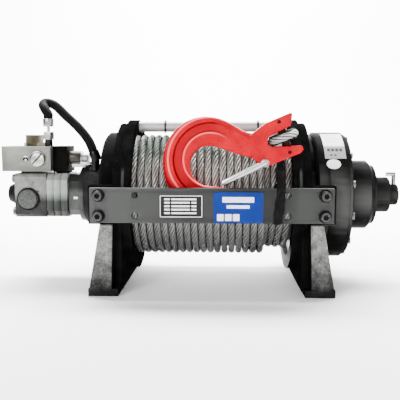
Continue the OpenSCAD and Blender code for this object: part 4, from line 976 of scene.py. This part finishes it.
def wrap_label(name, x0, x1, from_top, to_top, material, lift=0.0004, columns=10, rows=28, oval=False):
    """A thin label that follows the round of the gear housing; its angles are in degrees."""
    a0, a1 = math.radians(from_top), math.radians(to_top)
    sunk, least = 0.0003, 0.02
    verts, faces = [], []
    for r in (HOUSING_R + lift, HOUSING_R - sunk):
        for i in range(rows + 1):
            v = 2 * i / rows - 1
            wide = max(math.sqrt(1 - v * v), least) if oval else 1.0
            for j in range(columns + 1):
                u = (2 * j / columns - 1) * wide
                verts.append(housing_point((x0 + x1) / 2 + u * (x1 - x0) / 2, (a0 + a1) / 2 + v * (a1 - a0) / 2, r))
    per, half = columns + 1, (columns + 1) * (rows + 1)
    for i in range(rows):
        for j in range(columns):
            q = [i * per + j, i * per + j + 1, (i + 1) * per + j + 1, (i + 1) * per + j]
            faces += [q, [p + half for p in q[::-1]]]
    rim = list(range(per)) + [i * per + columns for i in range(1, rows + 1)]
    rim += [rows * per + j for j in range(columns - 1, -1, -1)] + [i * per for i in range(rows - 1, 0, -1)]
    faces += [[b, a, a + half, b + half] for a, b in zip(rim, rim[1:] + rim[:1])]
    fix_normals(piece(name, verts, faces, material, "frame", smooth=False))


def housing_label(black, white, foot, line):
    """A white label with a darker foot, blank lines, four blocks and two dashes."""
    left, right, ink = 0.2175, 0.2576, 0.0006
    wrap_label("housing_label", left, right, 14, 38, white)
    wrap_label("housing_label_foot", left, right, 38.2, 52.5, foot)
    first, pitch, high = 18, 4.4, 0.9
    for k in range(4):
        a, end = first + pitch * k, right - 0.008 - 0.004 * (k % 2)
        wrap_label(f"housing_label_line_{k}", left + 0.005, end, a, a + high, line, lift=ink, rows=3)
    block, low = (right - left - 0.009) / 4, left + 0.0055
    for kind, count, p, q, a0, a1, rows in (("block", 4, 0, 0.74, 41, 44.5, 5), ("dash", 2, 0.6, 1.1, 48, 49.6, 3)):
        for k in range(count):
            wrap_label(f"housing_label_{kind}_{k}", low + block * (k + p), low + block * (k + q), a0, a1, black,
                       lift=ink, columns=3, rows=rows)


def labels():
    black = print_look("label_black", grey(0.006), grey(0.012))
    white = print_look("label_white", (0.80, 0.80, 0.79), (0.88, 0.88, 0.87))
    blue = print_look("label_blue", (0.0, 0.014, 0.14), (0.0, 0.019, 0.18))
    line = print_look("label_grey", (0.42, 0.43, 0.42), (0.50, 0.51, 0.50))
    foot = print_look("label_shade", grey(0.20), grey(0.26))
    data_plate(black, white)
    blue_label(blue, white)
    housing_label(black, white, foot, line)
    wrap_label("round_sticker", 0.2195, 0.246, 53.4, 62.6, white, rows=32, oval=True)


# Looks of the CAD pieces


def paint_frame():
    """Supports, plate, rods, drum with all that is inside, and the dull black pieces."""
    paint(cast_support(), "support_left", "support_right")
    paint(plate_paint(), "tie_plate")
    paint(screw_oxide_painted_light(), "tie_plate_screws")
    dull = black_paint("dull_black", (0.5, 0.65), 0.0022, 0.005)
    paint(dull, "hub_housing", "valve_spool_body", "tie_rods_rear")
    matt = look("matt_black", grey(0.003), grey(0.006), (0.7, 0.85), coarse=30, fine=500, mirror=0.0)
    paint(matt, "drum_flange_left")
    paint(worn_flange(), "drum_flange_right")
    bright = machined("bright_steel", (0.46, 0.47, 0.46), (0.60, 0.61, 0.59), (0.05, 1, 1), 0.35)
    paint(bright, "rod_roller", "rod_sleeve_left", "rod_sleeve_right", "tie_rod_top")
    paint(look("polymer", grey(0.012), grey(0.02), (0.5, 0.6)), "rod_washers")
    gear = machined("gear_steel", (0.42, 0.43, 0.45), (0.55, 0.56, 0.58), (1, 0.3, 0.3), 0.9, (0.25, 0.4))
    paint(gear, "input_shaft", "sun_carrier_1", "carrier_2", "planet_1a", "planet_1b", "planet_1c", "planet_2a",
          "planet_2b", "planet_2c", "brake_plates", "clutch_plunger", "drum_bearings")
    paint(look("drum_iron", grey(0.10), (0.18, 0.18, 0.17), (0.4, 0.6), 0.5), "drum_barrel")
    inner = look("inner_rope", (0.06, 0.065, 0.06), (0.12, 0.125, 0.115), (0.5, 0.7), 0.6, fine=500, strength=0.8,
                 depth=0.001)
    paint(inner, "rope_core")
    paint(look("lining", (0.20, 0.15, 0.09), (0.30, 0.22, 0.13), (0.6, 0.8), 0.3), "brake_discs")


def paint_gearbox():
    """Round black housings at the right end, with their screws and the clutch handle."""
    satin, matt = (0.30, 0.46), (0.34, 0.50)
    # The last number given to round_black is the tone of the painted sheen along the housing's front.
    paint(round_black("satin_black", satin, 0.0048, 0.055), "gear_cover", "clutch_housing")
    paint(round_black("cap_black", matt, 0.0044, 0.022), "clutch_cap", "clutch_knob")
    paint(round_black("housing_black", matt, 0.0030, 0.062), "gear_housing")
    paint(look("screw_dark", grey(0.06), grey(0.12), (0.25, 0.4), 0.8), "cover_screws")
    paint(look("chrome", grey(0.30), grey(0.42), (0.12, 0.2), 1.0, strength=0.05), "clutch_lever")


def paint_hook():
    """Hook with its latch, pins, ferrule and thimble, and the brake housing, as rough as the thimble."""
    paint(red_paint(), "hook_body")
    paint(latch_zinc(), "hook_latch")
    dark = look("pin_dark", (0.02, 0.004, 0.004), (0.04, 0.008, 0.008), (0.5, 0.6), 0.4, mirror=0.05)
    paint(dark, "hook_retaining_pins", "hook_load_pin")
    alloy = look("pressed_alloy", (0.50, 0.50, 0.49), (0.62, 0.62, 0.60), (0.35, 0.5), 0.85, fine=500)
    paint(alloy, "rope_ferrule")
    rough = look("rough_black", grey(0.003), grey(0.012), (0.5, 0.7), coarse=60, fine=350, strength=0.6,
                 depth=0.0006, mirror=0.08)
    paint(rough, "hook_thimble", "brake_housing")


def paint_motor():
    """Motor, with painted shade below the drum's axis, and its screws and plug."""
    low, high = AXIS_Z - 0.012, AXIS_Z + 0.006
    casting = look("grey_casting", (0.115, 0.118, 0.115), (0.22, 0.225, 0.217), (0.42, 0.6), 0.2, coarse=40, fine=420,
                   strength=0.6, depth=0.0005, spot=grey(0.03), spots_from=0.66, mirror=0.08)
    paint(shade_below(casting, low, high, grey(0.004), 0.86), "motor_end_housing")
    gerotor = look("gerotor_steel", (0.20, 0.22, 0.20), (0.29, 0.31, 0.285), (0.45, 0.6), 0.1, coarse=24, fine=800,
                   stretch=(0.2, 1, 1), strength=0.12, depth=0.0002, mirror=0.1)
    paint(shade_below(gerotor, low, high, (0.006, 0.007, 0.006), 0.89), "gerotor_section")
    paint(flange_casting(), "motor_flange")
    paint(motor_screw_steel(), "motor_screws")
    paint(port_plastic(), "motor_port_plug")
    paint(black_paint("boss_black"), "motor_end_boss")


def paint_valves():
    """Valve block with its plugs, adapter and fittings."""
    alloy = machined("block_alloy", (0.14, 0.14, 0.128), (0.225, 0.225, 0.208), (0.06, 1, 1), 0.75, (0.44, 0.56),
                     spots_from=0.72)
    lo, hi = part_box("valve_block")
    # Painted shade towards the underside of the valve block.
    paint(shade_below(alloy, lo.z, hi.z, (0.05, 0.05, 0.045), 0.55), "valve_block")
    paint(plug_zinc(), "valve_plugs")
    paint(adapter_bronze(), "valve_adapter")
    paint(knurled_olive(middle("port_fitting")), "port_fitting")
    paint(fitting_zinc(), "hose_fittings")


def soften_edges():
    """Rounds the edges of the pieces that show."""
    groups = (
        (0.0012, ("support_left", "support_right")),
        (0.0008, ("gear_housing", "gear_cover", "hub_housing", "clutch_housing", "clutch_cap", "clutch_knob",
                  "motor_end_housing", "gerotor_section", "motor_flange", "brake_housing")),
        (0.0005, ("valve_block", "valve_spool_body", "valve_adapter", "hook_latch", "drum_flange_right",
                  "drum_flange_left", "motor_port_plug", "valve_plugs", "motor_end_boss")),
        (0.0004, ("tie_plate_screws", "cover_screws", "port_fitting", "hose_fittings")),
    )
    for width, names in groups:
        for name in names:
            soften(name, width)
    soften("tie_plate", 0.0008, smooth=False)
    forge("hook_body")


# Stage


def stage():
    """Pale floor that rises in one soft bend behind the object."""
    wall_y, bend, far, wide, high, drop = 2.6, 1.2, -3.0, 4.0, 4.0, 0.0004
    profile = [(far, 0.0), (0.0, 0.0), (wall_y - bend, 0.0)]
    profile += [(wall_y - bend + bend * math.sin(a), bend - bend * math.cos(a))
                for a in np.linspace(0.05, math.pi / 2, 24)]
    profile += [(wall_y, high)]
    verts = [(x, y, z - drop) for x in (-wide, wide) for y, z in profile]
    n = len(profile)
    faces = [[i, i + n, i + n + 1, i + 1] for i in range(n - 1)]
    pale = look("pale_floor", grey(0.94), grey(0.95), (0.8, 0.9), coarse=2, fine=60, strength=0.02)
    piece("floor", verts, faces, pale, None)


def area_light(name, place, aim, wide, tall, power):
    light = bpy.data.lights.new(name, "AREA")
    light.shape = "RECTANGLE"
    light.size, light.size_y, light.energy = wide, tall, power
    obj = bpy.data.objects.new(name, light)
    obj.location = place
    obj.rotation_euler = (Vector(aim) - Vector(place)).to_track_quat("-Z", "Y").to_euler()
    bpy.context.scene.collection.objects.link(obj)


def lights():
    winch = (0, 0, 0.2)
    area_light("key", (-1.2, -1.9, 1.15), winch, 0.9, 0.7, 52)
    area_light("fill", (1.7, -1.6, 0.8), winch, 0.8, 0.8, 22)
    area_light("front", (0.0, -2.6, 0.55), winch, 2.6, 0.5, 20)
    area_light("top", (0.0, 0.1, 2.2), winch, 1.4, 0.6, 10)
    area_light("wall", (0.0, 1.0, 2.4), (0, 2.2, 0.6), 3.6, 1.2, 1000)
    world = bpy.data.worlds.new("studio")
    world.use_nodes = True
    background = world.node_tree.nodes["Background"]
    background.inputs["Color"].default_value = (1, 1, 1, 1)
    background.inputs["Strength"].default_value = 0.22
    bpy.context.scene.world = world


def camera():
    """The photo's view; the focal length is in pixels of the square picture."""
    pixels, focal_px, down, left = 400, 589.7, 6.2, 2.01
    lens = bpy.data.cameras.new("camera")
    lens.sensor_width = 36.0
    lens.lens = focal_px / pixels * lens.sensor_width
    lens.clip_start = 0.01
    obj = bpy.data.objects.new("camera", lens)
    obj.location = (0.0173, -1.242, 0.2997)
    obj.rotation_euler = (math.radians(90 - down), 0.0, math.radians(left))
    bpy.context.scene.collection.objects.link(obj)
    bpy.context.scene.camera = obj


paint_frame()
paint_gearbox()
paint_hook()
paint_motor()
paint_valves()
soften_edges()
ropes()
hose()
strap()
labels()
stage()
lights()
camera()
